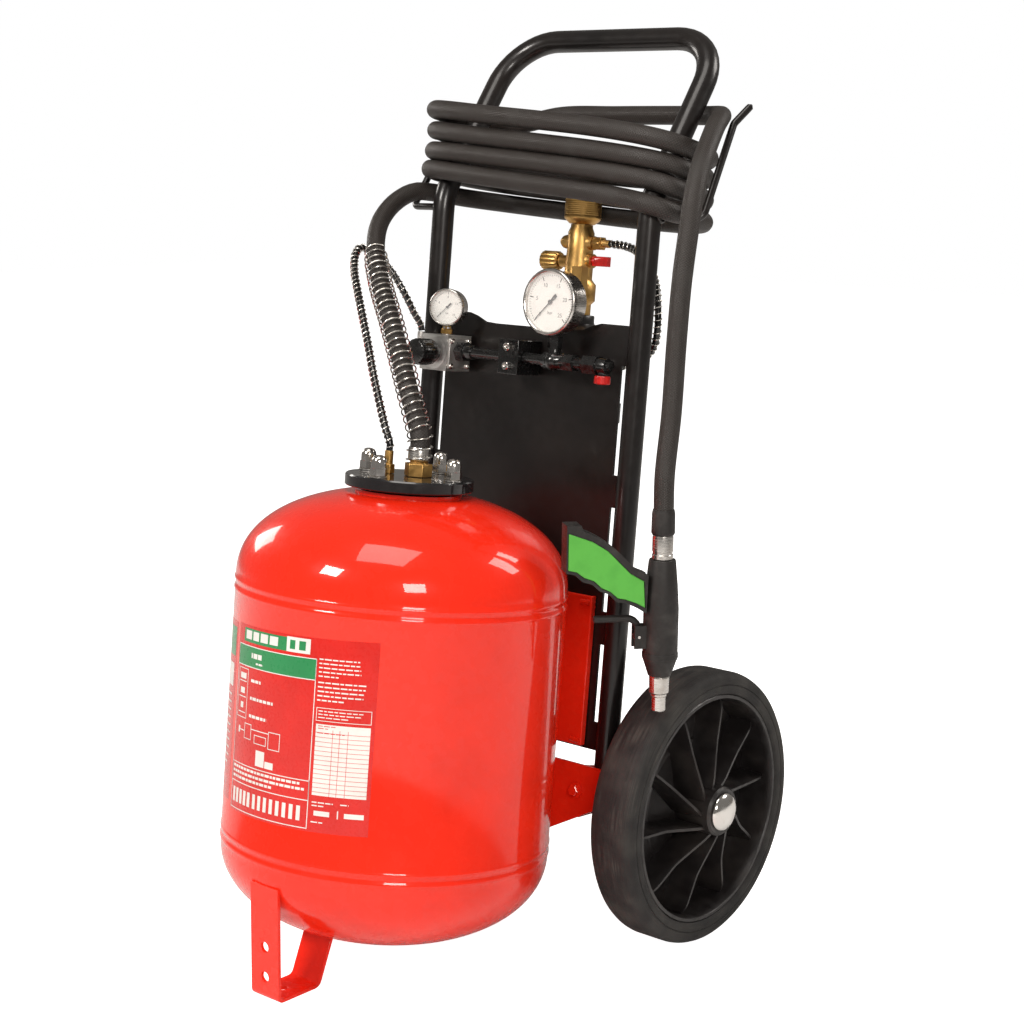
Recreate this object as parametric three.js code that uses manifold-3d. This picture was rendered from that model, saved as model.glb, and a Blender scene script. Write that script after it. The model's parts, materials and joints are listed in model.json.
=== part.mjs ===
// Wheeled fire extinguisher: a pressure tank on a tilted two-wheel trolley, with a gas cylinder
// behind the back plate, a pressure manifold with two gauges, and a hose with a trigger gun.
// Millimetres, +Z up. The front (tank and foot) faces -Y, and +X is the side that the gun hangs on.
// Most pieces stand in the rig frame: its origin is the middle of the axle, X along the axle,
// Y square to the trolley frame (backwards) and Z along the uprights, which lean back.

import * as THREE from 'three';
import Module from 'manifold-3d';
import { mergeVertices } from 'three/addons/utils/BufferGeometryUtils.js';

const wasm = await Module();
wasm.setup();

// ---------------------------------------------------------------- driving dimensions
const GAP = 0.3; // between pieces that touch
const RUN_GAP = 0.5; // between pieces that turn on each other
const LEAN = THREE.MathUtils.degToRad(5.35); // the trolley leans back when it is parked

// wheels
const WHEEL_R = 150;
const AXLE_Y = 140; // puts the origin under the middle of the whole trolley
const WHEEL_SIDES = 36;
const TYRE_WIDTH = 55;
const TYRE_THICKNESS = 24;
const WHEEL_X = 191; // inner face of the tyre
const HUB_R = 27;
const HUB_OUT = 14; // how far the hub stands out past the tyre
const RIB_COUNT = 10;
const RIB_START = THREE.MathUtils.degToRad(165);
const RIB_KINK_R = 75;
const RIB_SWIRL = THREE.MathUtils.degToRad(33);
const AXLE_R = 10;
const BUSH_WALL = 3;

// frame
const TUBE_R = 12.5;
const TUBE_WALL = 2;
const UPRIGHT_X = 147;
const FRAME_Y = -66; // plane of the uprights, in front of the axle
const FRAME_BOTTOM = -16;
const HANDLE_BEND_Z = 645;
const HANDLE_LEAN = THREE.MathUtils.degToRad(30.6);
const HANDLE_LENGTH = 215;
const HANDLE_CORNER_R = 62;
const PLATE_T = 3;
const PLATE_TOP = 513;
const PLATE_DIP = 10;
const PLATE_BOTTOM = 50;
const PLATE_SIDE_SLIT = 8;
const HOOK_R = 4;
const HOOK_X = 206;
const HOOK_RIGHT_TOP_X = 193; // the right hook leans in towards the coil
const HOOK_Z = 630;

// tank
const TANK_R = 174.5;
const TANK_WALL = 3;
const TANK_SIDES = 36;
const TANK_Y = -251.5;
const SEAM_RISE = 0.9;
const SEAM_LOW = -42;
const SEAM_HIGH = 222;
const DOME_LOW = 105;
const DOME_HIGH = 106;
const NECK_R = 56;
const NECK_WALL = 9;
const LID_R = 67.5;
const LID_T = 12.5;
const LID_BOTTOM = 329;
const GASKET_T = 2.4;
const LID_BOLT_CIRCLE = 55;
const LID_BOLT_TURN = THREE.MathUtils.degToRad(7);
const LID_NUT_R = 8;
const STUD_R = 4;

// hose and gun
const HOSE_R = 10.4;
const COIL_HALF_LENGTH = 180;
const COIL_HALF_DEPTH = 63;
const COIL_X = -6;
const COIL_Y = -23;
const COIL_Z = 636.5;
const COIL_PITCH = 22.6;
const COIL_FRONT_SQUARENESS = 4;
const COIL_BACK_SQUARENESS = 2.6;
const COIL_SIDE_TILT = 0.083;
const COIL_BACK_TILT = 0.12;
const GAS_HOSE_R = 3.6;
const GUN_PLACE = new THREE.Vector3(243, -100.5, 442);
const GUN_TURN = THREE.MathUtils.degToRad(-128.3);
const FERRULE_R = 10.8;
const FERRULE_LENGTH = 25;
const TANK_FERRULE = 15;
const OUTLET_NUT = 14;

// gas cylinder and manifold
const CYLINDER_R = 57.5;
const CYLINDER_WALL = 5;
const CYLINDER_Y = 6;
const CYLINDER_BOTTOM = 72;
const CYLINDER_SHOULDER = 462;
const CYLINDER_TOP = 519;
const KEY_SHAFT_R = 4;
const STRAP_WIDTH = 22;
const STRAP_T = 2;
const PIPE_Y = -96;
const PIPE_Z = 469;
const PIPE_R = 6;
const BLOCK = 40; // the regulator block is a cube
const BLOCK_X = -102;
const ELBOW_X = -139;
const ELBOW_TOP = 487;
const CLAMP_X = 1;
const TEE_X = 56;
const BLEED_X = TEE_X + 68;
const BULKHEAD_X = TEE_X + 54; // where the manifold goes through the back plate
const BULKHEAD_R = 6;
const BULKHEAD_END = -52;
const LARGE_GAUGE_R = 36;
const LARGE_GAUGE_Z = 532;
const SMALL_GAUGE_R = 21;
const SMALL_GAUGE_Z = 517;

// ---------------------------------------------------------------- materials
const paint = (color, roughness, metalness) =>
  new THREE.MeshStandardMaterial({ color, roughness, metalness });
const RED = () => paint(0xd8281a, 0.25, 0.1);
const BLACK_STEEL = () => paint(0x17171a, 0.4, 0.2);
const BLACK_PLASTIC = () => paint(0x1b1b1d, 0.55, 0);
const RUBBER = () => paint(0x2a2826, 0.8, 0);
const CHROME = () => paint(0xc8c8c8, 0.15, 1);
const STEEL = () => paint(0xb4b2ae, 0.3, 1);
const BRASS = () => paint(0xb98a45, 0.3, 1);
const WHITE = () => paint(0xf0efe9, 0.5, 0);
const GREEN = () => paint(0x69c855, 0.5, 0);

// ---------------------------------------------------------------- geometry helpers
const group = new THREE.Group();
const parked = new THREE.Group(); // upright, with its origin on the floor under the axle
parked.position.y = AXLE_Y;
group.add(parked);
const rig = new THREE.Group();
rig.position.z = WHEEL_R;
rig.rotation.x = -LEAN;
parked.add(rig);

function place(name, geometry, material, parent = rig) {
  const mesh = new THREE.Mesh(geometry, material);
  mesh.name = name;
  parent.add(mesh);
  return mesh;
}

function toSolid(geometry) {
  const plain = geometry.clone();
  plain.deleteAttribute('normal');
  plain.deleteAttribute('uv');
  const welded = mergeVertices(plain, 1e-4);
  return new wasm.Manifold(new wasm.Mesh({
    numProp: 3,
    vertProperties: new Float32Array(welded.attributes.position.array),
    triVerts: new Uint32Array(welded.index.array),
  }));
}

function toGeometry(solid) {
  const mesh = solid.getMesh();
  const geometry = new THREE.BufferGeometry();
  geometry.setAttribute('position', new THREE.BufferAttribute(mesh.vertProperties, 3));
  geometry.setIndex(new THREE.BufferAttribute(mesh.triVerts, 1));
  geometry.computeVertexNormals();
  return geometry;
}

const join = (...parts) => toGeometry(parts.map(toSolid).reduce((a, b) => a.add(b)));
const cut = (base, ...tools) => toGeometry(tools.map(toSolid).reduce((a, b) => a.subtract(b), toSolid(base)));

// A turned piece about Z. Each profile point is [radius, height], from the axis back to the axis
// for a solid one, or closed on itself for a ring.
function turned(profile, sides = 24) {
  const points = profile.map(([r, z]) => new THREE.Vector2(r, z));
  return new THREE.LatheGeometry(points, sides).rotateX(Math.PI / 2);
}

function ring(inner, outer, bottom, top, sides = 20) {
  return turned([[inner, bottom], [outer, bottom], [outer, top], [inner, top], [inner, bottom]], sides);
}

function disc(radius, bottom, top, sides = 20) {
  return turned([[0, bottom], [radius, bottom], [radius, top], [0, top]], sides);
}

const alongX = (geometry) => geometry.rotateY(Math.PI / 2);
const alongFront = (geometry) => geometry.rotateX(Math.PI / 2); // turned axis Z becomes -Y
const box = (x, y, z, cx, cy, cz) => new THREE.BoxGeometry(x, y, z).translate(cx, cy, cz);

// The polygon radius whose flats clear a round pin of the given radius.
const boreFor = (radius, sides, clearance = 0.05) => (radius + clearance) / Math.cos(Math.PI / sides);

// A hexagonal prism about Z with the given distance across its flats.
const hex = (flats, bottom, top) => disc(flats / 2 / Math.cos(Math.PI / 6), bottom, top, 6);

// A flat plate in the XZ plane: its outline is drawn in X and Z, its front face is at y.
function plateXZ(outline, y, thickness, holes = []) {
  const shape = new THREE.Shape(outline.map(([x, z]) => new THREE.Vector2(x, z)));
  shape.holes = holes;
  const plate = new THREE.ExtrudeGeometry(shape, { depth: thickness, bevelEnabled: false });
  return plate.rotateX(Math.PI / 2).translate(0, y + thickness, 0);
}

// A flat plate in the YZ plane, its outline drawn in Y and Z, from x to x + thickness.
function plateYZ(outline, x, thickness, holes = []) {
  const shape = new THREE.Shape(outline.map(([y, z]) => new THREE.Vector2(y, z)));
  shape.holes = holes;
  const plate = new THREE.ExtrudeGeometry(shape, { depth: thickness, bevelEnabled: false, curveSegments: 16 });
  return plate.rotateZ(Math.PI / 2).rotateY(Math.PI / 2).translate(x, 0, 0);
}

function roundHole(x, y, radius) {
  return new THREE.Path().absarc(x, y, radius, 0, 2 * Math.PI, true);
}

function circleShape(radius, sides) {
  const points = [];
  for (let i = 0; i < sides; i += 1) {
    const a = (2 * Math.PI * i) / sides;
    points.push(new THREE.Vector2(radius * Math.cos(a), radius * Math.sin(a)));
  }
  return new THREE.Shape(points);
}

// A bent rod's centreline: straight runs between corners, with an arc of one radius at each corner.
class BentPath extends THREE.Curve {
  constructor(corners, radius, arcSteps) {
    super();
    const list = corners.map((c) => new THREE.Vector3(...c));
    this.points = [list[0]];
    for (let i = 1; i < list.length - 1; i += 1) {
      const before = list[i - 1].clone().sub(list[i]).normalize();
      const after = list[i + 1].clone().sub(list[i]).normalize();
      const half = before.angleTo(after) / 2;
      const reach = radius / Math.tan(half);
      const centre = before.clone().add(after).normalize().multiplyScalar(radius / Math.sin(half)).add(list[i]);
      const start = before.multiplyScalar(reach).add(list[i]).sub(centre);
      const end = after.multiplyScalar(reach).add(list[i]).sub(centre);
      const axis = start.clone().cross(end).normalize();
      const sweep = start.angleTo(end);
      for (let k = 0; k <= arcSteps; k += 1) {
        this.points.push(start.clone().applyAxisAngle(axis, (sweep * k) / arcSteps).add(centre));
      }
    }
    this.points.push(list[list.length - 1]);
  }

  getPoint(t, target = new THREE.Vector3()) {
    const last = this.points.length - 1;
    const i = Math.min(Math.floor(t * last + 1e-9), last - 1);
    return target.lerpVectors(this.points[i], this.points[i + 1], t * last - i);
  }

  getPointAt(u, target) {
    return this.getPoint(u, target);
  }

  getSpacedPoints() {
    return this.points;
  }

  getTangentAt(u, target = new THREE.Vector3()) {
    const last = this.points.length - 1;
    const i = Math.round(u * last);
    const ahead = this.points[Math.min(i + 1, last)].clone().sub(this.points[i]).normalize();
    const behind = this.points[i].clone().sub(this.points[Math.max(i - 1, 0)]).normalize();
    return target.copy(ahead).add(behind).normalize();
  }
}

function bentRod(corners, radius, bend, sides = 10, arcSteps = 5, bore = 0) {
  const path = new BentPath(corners, bend, arcSteps);
  const shape = circleShape(radius, sides);
  if (bore > 0) shape.holes = [new THREE.Path(circleShape(bore, sides).getPoints().reverse())];
  return new THREE.ExtrudeGeometry(shape, {
    steps: path.points.length - 1,
    bevelEnabled: false,
    extrudePath: path,
  });
}

// A hose along a free route through the given points.
function hose(points, radius, sides, step) {
  const curve = new THREE.CatmullRomCurve3(points.map((p) => new THREE.Vector3(...p)), false, 'centripetal');
  curve.arcLengthDivisions = 600;
  return new THREE.ExtrudeGeometry(circleShape(radius, sides), {
    steps: Math.round(curve.getLength() / step),
    bevelEnabled: false,
    extrudePath: curve,
  });
}

// ---------------------------------------------------------------- frame
function frameTube(radius, bore = 0) {
  const topY = FRAME_Y + HANDLE_LENGTH * Math.sin(HANDLE_LEAN);
  const topZ = HANDLE_BEND_Z + HANDLE_LENGTH * Math.cos(HANDLE_LEAN);
  const half = [[FRAME_Y, FRAME_BOTTOM], [FRAME_Y, HANDLE_BEND_Z], [topY, topZ]];
  const left = half.map(([y, z]) => [-UPRIGHT_X, y, z]);
  const right = half.map(([y, z]) => [UPRIGHT_X, y, z]).reverse();
  return bentRod([...left, ...right], radius, HANDLE_CORNER_R, 12, 5, bore);
}

function hookRod(side, radius) {
  const top = side > 0 ? HOOK_RIGHT_TOP_X : HOOK_X;
  const rod = [
    [side * (UPRIGHT_X + TUBE_R + GAP), FRAME_Y + 3, HOOK_Z],
    [side * HOOK_X, FRAME_Y + 13, HOOK_Z],
    [side * top, FRAME_Y + 74, HOOK_Z + 104],
    [side * (top + 8), FRAME_Y + 93, HOOK_Z + 126],
  ];
  return bentRod(rod, radius, 9, 8, 4);
}

function addFrame() {
  place('frame_tube', frameTube(TUBE_R, TUBE_R - TUBE_WALL), BLACK_STEEL());

  const inner = UPRIGHT_X - TUBE_R - GAP;
  const side = inner - PLATE_SIDE_SLIT;
  // The plate's top is lower in its middle, and each side has slits between the tabs that are welded on.
  const slits = [[81, 167], [203, 317], [352, 470]];
  const right = [[inner, PLATE_BOTTOM]];
  for (const [low, high] of slits) right.push([inner, low], [side, low], [side, high], [inner, high]);
  right.push([inner, PLATE_TOP], [95, PLATE_TOP], [84, PLATE_TOP - 3], [70, PLATE_TOP - PLATE_DIP + 1]);
  const left = right.map(([x, z]) => [-x, z]).reverse();
  const outline = [...right, [55, PLATE_TOP - PLATE_DIP], [-55, PLATE_TOP - PLATE_DIP], ...left];
  const hole = roundHole(BULKHEAD_X, PIPE_Z, BULKHEAD_R + RUN_GAP);
  place('back_plate', plateXZ(outline, FRAME_Y - PLATE_T / 2, PLATE_T, [hole]), BLACK_STEEL());

  place('hose_hook_left', hookRod(-1, HOOK_R), BLACK_STEEL());
  place('hose_hook_right', hookRod(1, HOOK_R), BLACK_STEEL());
}

// ---------------------------------------------------------------- tank brackets, axle and foot
const tankBack = TANK_Y + TANK_R + SEAM_RISE; // the rearmost line of the tank

function addBrackets() {
  // A shallow tray that the tank is welded to, bolted flat against the back plate.
  const half = 118;
  const low = 53;
  const high = 219;
  const front = tankBack + GAP;
  const back = FRAME_Y - PLATE_T / 2 - GAP;
  const wall = 4;
  const face = box(2 * half, wall, high - low, 0, front + wall / 2, (high + low) / 2);
  const flanges = [-1, 1].map((s) =>
    box(wall, back - front, high - low, s * (half - wall / 2), (front + back) / 2, (high + low) / 2));
  place('mounting_bracket', join(face, ...flanges), RED());

  // Each axle bracket is a tapered plate across an upright, with a side cheek that holds the axle.
  const plateT = 4;
  const faceY = FRAME_Y - TUBE_R - GAP - plateT;
  const tankGap = TANK_R + GAP;
  const inside = Math.sqrt(tankGap ** 2 - (faceY - TANK_Y) ** 2) + 2;
  const cheekX = UPRIGHT_X - TUBE_R - 12;
  for (const [name, s] of [['axle_bracket_left', -1], ['axle_bracket_right', 1]]) {
    const outline = [[inside, 35], [inside, -46], [85, -46], [UPRIGHT_X + 8, -8], [UPRIGHT_X + 8, 35]];
    const plate = plateXZ(outline.map(([x, z]) => [s * x, z]), faceY, plateT);
    const hole = roundHole(0, 0, AXLE_R + GAP);
    const cheek = plateYZ([[faceY + 1, 34], [faceY + 1, -24], [-6, -22], [14, -18], [20, 0], [14, 18], [-6, 24]],
      s > 0 ? cheekX : -cheekX - 5, 5, [hole]);
    const ear = plateXZ([[inside, 35], [inside, 20], [UPRIGHT_X + 8, 20], [UPRIGHT_X + 8, 35]].map(([x, z]) => [s * x, z]),
      faceY, plateT);
    const trimmed = cut(join(plate, cheek, ear), tankSolid(GAP));
    place(name, trimmed, RED());
  }

  const end = WHEEL_X + TYRE_WIDTH + HUB_OUT - 3;
  place('axle', alongX(disc(AXLE_R, -end, end, 24)), STEEL());
}

function addFoot() {
  const width = 40;
  const t = 4;
  const frontY = -430;
  const rearY = -372;
  // Side view of the strip, in Y and Z, as it stands on the floor: front leg, sole and rear leg.
  const strip = new THREE.Shape();
  strip.moveTo(frontY, 122);
  strip.lineTo(frontY, 7);
  strip.absarc(frontY + 7, 7, 7, Math.PI, 1.5 * Math.PI, false);
  strip.lineTo(rearY - 7, 0);
  strip.quadraticCurveTo(rearY, 0, rearY + 2.6, 6.3);
  strip.lineTo(rearY + 24, 58);
  strip.lineTo(rearY + 24 - t, 58);
  strip.lineTo(rearY - 0.7, t + 4);
  strip.quadraticCurveTo(rearY - 2.6, t, rearY - 7, t);
  strip.lineTo(frontY + 7, t);
  strip.absarc(frontY + 7, 7, 3, 1.5 * Math.PI, Math.PI, true);
  strip.lineTo(frontY + t, 122);
  const band = new THREE.ExtrudeGeometry(strip, { depth: width, bevelEnabled: false, curveSegments: 4 });
  band.rotateZ(Math.PI / 2).rotateY(Math.PI / 2).translate(-width / 2, 0, 0);
  const holes = [24, 56].map((z) => disc(5.5, frontY - 5, frontY + 10, 20).rotateX(-Math.PI / 2).translate(0, 0, z));
  const soleHole = disc(4.5, -2, t + 2, 16).translate(0, -405, 0);
  const tank = tankSolid(GAP).rotateX(-LEAN).translate(0, 0, WHEEL_R);
  place('front_foot', cut(band, ...holes, soleHole, tank), RED(), parked);
}

// ---------------------------------------------------------------- tank
// Half-profile of a domed end, as a squared ellipse: more upright at the rim than a true ellipse.
function dome(radius, depth, sign, from, steps, end = 0) {
  const power = 2.2;
  const points = [];
  for (let i = 0; i <= steps; i += 1) {
    const a = (Math.PI / 2) * (i / steps);
    const r = radius * Math.cos(a) ** (2 / power);
    const z = from + sign * depth * Math.sin(a) ** (2 / power);
    if (r > end) points.push([r, z]);
  }
  return points;
}

function seamRing(z, radius) {
  const proud = radius + SEAM_RISE;
  return [[radius, z - 8], [proud, z - 6], [proud, z - 4], [radius - 0.6, z], [proud, z + 4], [proud, z + 6],
    [radius, z + 8]];
}

// The tank's outside profile, from its lowest point up to the neck.
function tankOutline() {
  const low = SEAM_LOW - 8;
  const high = SEAM_HIGH + 8;
  return [
    [0, SEAM_LOW - DOME_LOW],
    ...dome(TANK_R, DOME_LOW - 8, -1, low, 7).reverse(),
    ...seamRing(SEAM_LOW, TANK_R).slice(1, -1),
    ...seamRing(SEAM_HIGH, TANK_R).slice(1, -1),
    ...dome(TANK_R, DOME_HIGH - 8, 1, high, 7, NECK_R + 6),
  ];
}

// The tank's outside, grown by a clearance, as a solid without its hollow.
function tankSolid(grow) {
  const outline = tankOutline().map(([r, z]) => [r > 0 ? r + grow : 0, z + grow * Math.sign(z)]);
  return turned([...outline, [0, SEAM_HIGH + DOME_HIGH]], TANK_SIDES).translate(0, TANK_Y, 0);
}

function addTank() {
  const neckTop = LID_BOTTOM - GASKET_T - 2 * GAP;
  const innerR = TANK_R - TANK_WALL;
  const innerLow = dome(innerR, DOME_LOW - TANK_WALL, -1, SEAM_LOW, 5);
  const innerHigh = dome(innerR, DOME_HIGH - TANK_WALL, 1, SEAM_HIGH, 5, NECK_R).reverse();
  const profile = [
    ...tankOutline(),
    [NECK_R, neckTop - 4],
    [NECK_R, neckTop],
    [NECK_R - NECK_WALL, neckTop],
    [NECK_R - NECK_WALL, neckTop - 14],
    ...innerHigh,
    ...innerLow,
    [0, SEAM_LOW - DOME_LOW + TANK_WALL],
  ];
  place('tank_shell', turned(profile, TANK_SIDES).translate(0, TANK_Y, 0), RED());

  // The lid is held by four studs that stand in the neck ring, each with a domed nut.
  const lidTop = LID_BOTTOM + LID_T;
  const boreR = 9;
  const outlet = new THREE.Vector2(8, TANK_Y + 4);
  const inlet = new THREE.Vector2(-25, TANK_Y - 7);
  const lid = cut(
    turned([[0, LID_BOTTOM], [LID_R, LID_BOTTOM], [LID_R, lidTop - 1], [LID_R - 1, lidTop], [0, lidTop]], 36)
      .translate(0, TANK_Y, 0),
    disc(boreR, LID_BOTTOM - 1, lidTop + 1, 20).translate(outlet.x, outlet.y, 0),
    disc(5, LID_BOTTOM - 1, lidTop + 1, 16).translate(inlet.x, inlet.y, 0),
    ...studPlaces().map(([x, y]) => disc(STUD_R + GAP, LID_BOTTOM - 1, lidTop + 1, 16).translate(x, y, 0)),
  );
  place('tank_lid', lid, BLACK_PLASTIC());
  const gasketBottom = LID_BOTTOM - GAP - GASKET_T;
  place('lid_gasket', ring(NECK_R - NECK_WALL + 1, NECK_R - 6, gasketBottom, LID_BOTTOM - GAP, 24)
    .translate(0, TANK_Y, 0), RUBBER());

  studPlaces().forEach(([x, y], i) => {
    const z = lidTop + GAP;
    const nut = join(
      hex(2 * LID_NUT_R * 0.9, z, z + 8),
      hex(2 * LID_NUT_R * 0.9, z + 7.9, z + 14),
      turned([[0, z + 13.9], [LID_NUT_R * 0.82, z + 13.9], [LID_NUT_R * 0.78, z + 18], [LID_NUT_R * 0.5, z + 22],
        [0, z + 23.5]], 12),
      disc(STUD_R, LID_BOTTOM - GASKET_T + 0.2, z + 2, 12),
    );
    place(`lid_nut_${i + 1}`, nut.translate(x, y, 0), CHROME());
  });

  // Hose outlet: a hexagon nut on the lid, the dip tube under it and a crimped ferrule above it.
  const nutTop = lidTop + OUTLET_NUT;
  const nut = join(hex(26, lidTop + GAP, nutTop), disc(9.5, nutTop - 0.5, nutTop + 2, 20));
  place('hose_outlet_nut', nut.translate(outlet.x, outlet.y, 0), BRASS());
  const dip = ring(6, boreR - GAP, SEAM_LOW - DOME_LOW + 16, lidTop - 0.5, 20);
  place('dip_tube', dip.translate(outlet.x, outlet.y, 0), BRASS());
  const ferruleBottom = nutTop + 2 + GAP;
  const ferruleTop = ferruleBottom + TANK_FERRULE;
  const ferrule = turned([[0, ferruleBottom], [10.5, ferruleBottom], [12, ferruleBottom + 2],
    [12, ferruleTop - 2], [11.4, ferruleTop], [0, ferruleTop]], 20);
  place('hose_ferrule_tank', ferrule.translate(outlet.x, outlet.y, 0), STEEL());

  const inletNut = join(hex(12, lidTop + GAP, lidTop + 10), disc(4.6, lidTop + 9.9, lidTop + 24, 16),
    disc(4.6, LID_BOTTOM - 6, lidTop + 1, 16));
  place('gas_inlet_fitting', inletNut.translate(inlet.x, inlet.y, 0), BRASS());
}

function studPlaces() {
  return [0, 1, 2, 3].map((i) => {
    const a = LID_BOLT_TURN + (i * Math.PI) / 2;
    return [LID_BOLT_CIRCLE * Math.cos(a), TANK_Y + LID_BOLT_CIRCLE * Math.sin(a)];
  });
}

// ---------------------------------------------------------------- wheels
function addWheel(side, s) {
  const turn = (geometry) => (s > 0 ? geometry : geometry.rotateZ(Math.PI)).rotateX(LEAN);
  const inner = WHEEL_X;
  const outer = WHEEL_X + TYRE_WIDTH;
  const rimR = WHEEL_R - TYRE_THICKNESS;
  const crown = 6;
  const tyre = turned([
    [rimR, inner], [WHEEL_R - crown, inner], [WHEEL_R - 1.2, inner + crown], [WHEEL_R, inner + crown + 4],
    [WHEEL_R, outer - crown - 4], [WHEEL_R - 1.2, outer - crown], [WHEEL_R - crown, outer],
    [rimR, outer], [rimR, inner],
  ], WHEEL_SIDES);
  place(`tyre_${side}`, turn(alongX(tyre)), RUBBER());

  // Rim: a rim band, a dished web and a hub in one, stiffened by kinked ribs.
  const band = rimR - GAP;
  const bore = boreFor(AXLE_R + BUSH_WALL, WHEEL_SIDES, GAP);
  const hubEnd = outer + HUB_OUT;
  const dish = turned([
    [bore, inner + 4], [HUB_R - 2, inner + 4], [HUB_R - 2, inner + 12], [70, inner + 10], [96, inner + 7],
    [band - 10, inner + 3], [band, inner + 3], [band, outer - 2], [band - 5, outer - 2],
    [band - 8, inner + 12], [96, inner + 14], [70, inner + 18], [HUB_R, inner + 22],
    [HUB_R, hubEnd - 2], [HUB_R - 2, hubEnd], [bore, hubEnd], [bore, inner + 4],
  ], WHEEL_SIDES);
  const ribs = [];
  for (let i = 0; i < RIB_COUNT; i += 1) {
    const a = RIB_START + (2 * Math.PI * i) / RIB_COUNT;
    ribs.push(rib(HUB_R - 3, RIB_KINK_R, a + RIB_SWIRL, a + 0.05, inner + 8, outer + 4, outer - 7));
    ribs.push(rib(RIB_KINK_R - 1, band - 3, a + 0.05, a, inner + 8, outer - 7, outer - 11));
  }
  place(`rim_${side}`, turn(alongX(join(dish, ...ribs))), BLACK_PLASTIC());

  place(`wheel_bush_${side}`, turn(alongX(ring(boreFor(AXLE_R, 24), AXLE_R + BUSH_WALL, inner + 1, hubEnd - 4, 24))), STEEL());
  const cap = turned([[0, hubEnd - 2], [AXLE_R + 2, hubEnd - 2], [AXLE_R + 2, hubEnd + GAP], [21, hubEnd + GAP],
    [20.5, hubEnd + 2.5], [17, hubEnd + 6], [10, hubEnd + 8.5], [0, hubEnd + 9.5]], 28);
  place(`hub_cap_${side}`, turn(alongX(cap)), CHROME());
}

// One straight stretch of a rib, about Z: from one radius and angle to another, its top falling outwards.
function rib(r1, r2, a1, a2, bottom, top1, top2) {
  const start = new THREE.Vector2(r1 * Math.cos(a1), r1 * Math.sin(a1));
  const end = new THREE.Vector2(r2 * Math.cos(a2), r2 * Math.sin(a2));
  const length = start.distanceTo(end);
  const outline = new THREE.Shape([[0, bottom], [length, bottom], [length, top2], [0, top1]]
    .map(([x, y]) => new THREE.Vector2(x, y)));
  const t = 3;
  return new THREE.ExtrudeGeometry(outline, { depth: t, bevelEnabled: false })
    .translate(0, 0, -t / 2)
    .rotateX(Math.PI / 2)
    .rotateZ(Math.atan2(end.y - start.y, end.x - start.x))
    .translate(start.x, start.y, 0);
}

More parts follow.
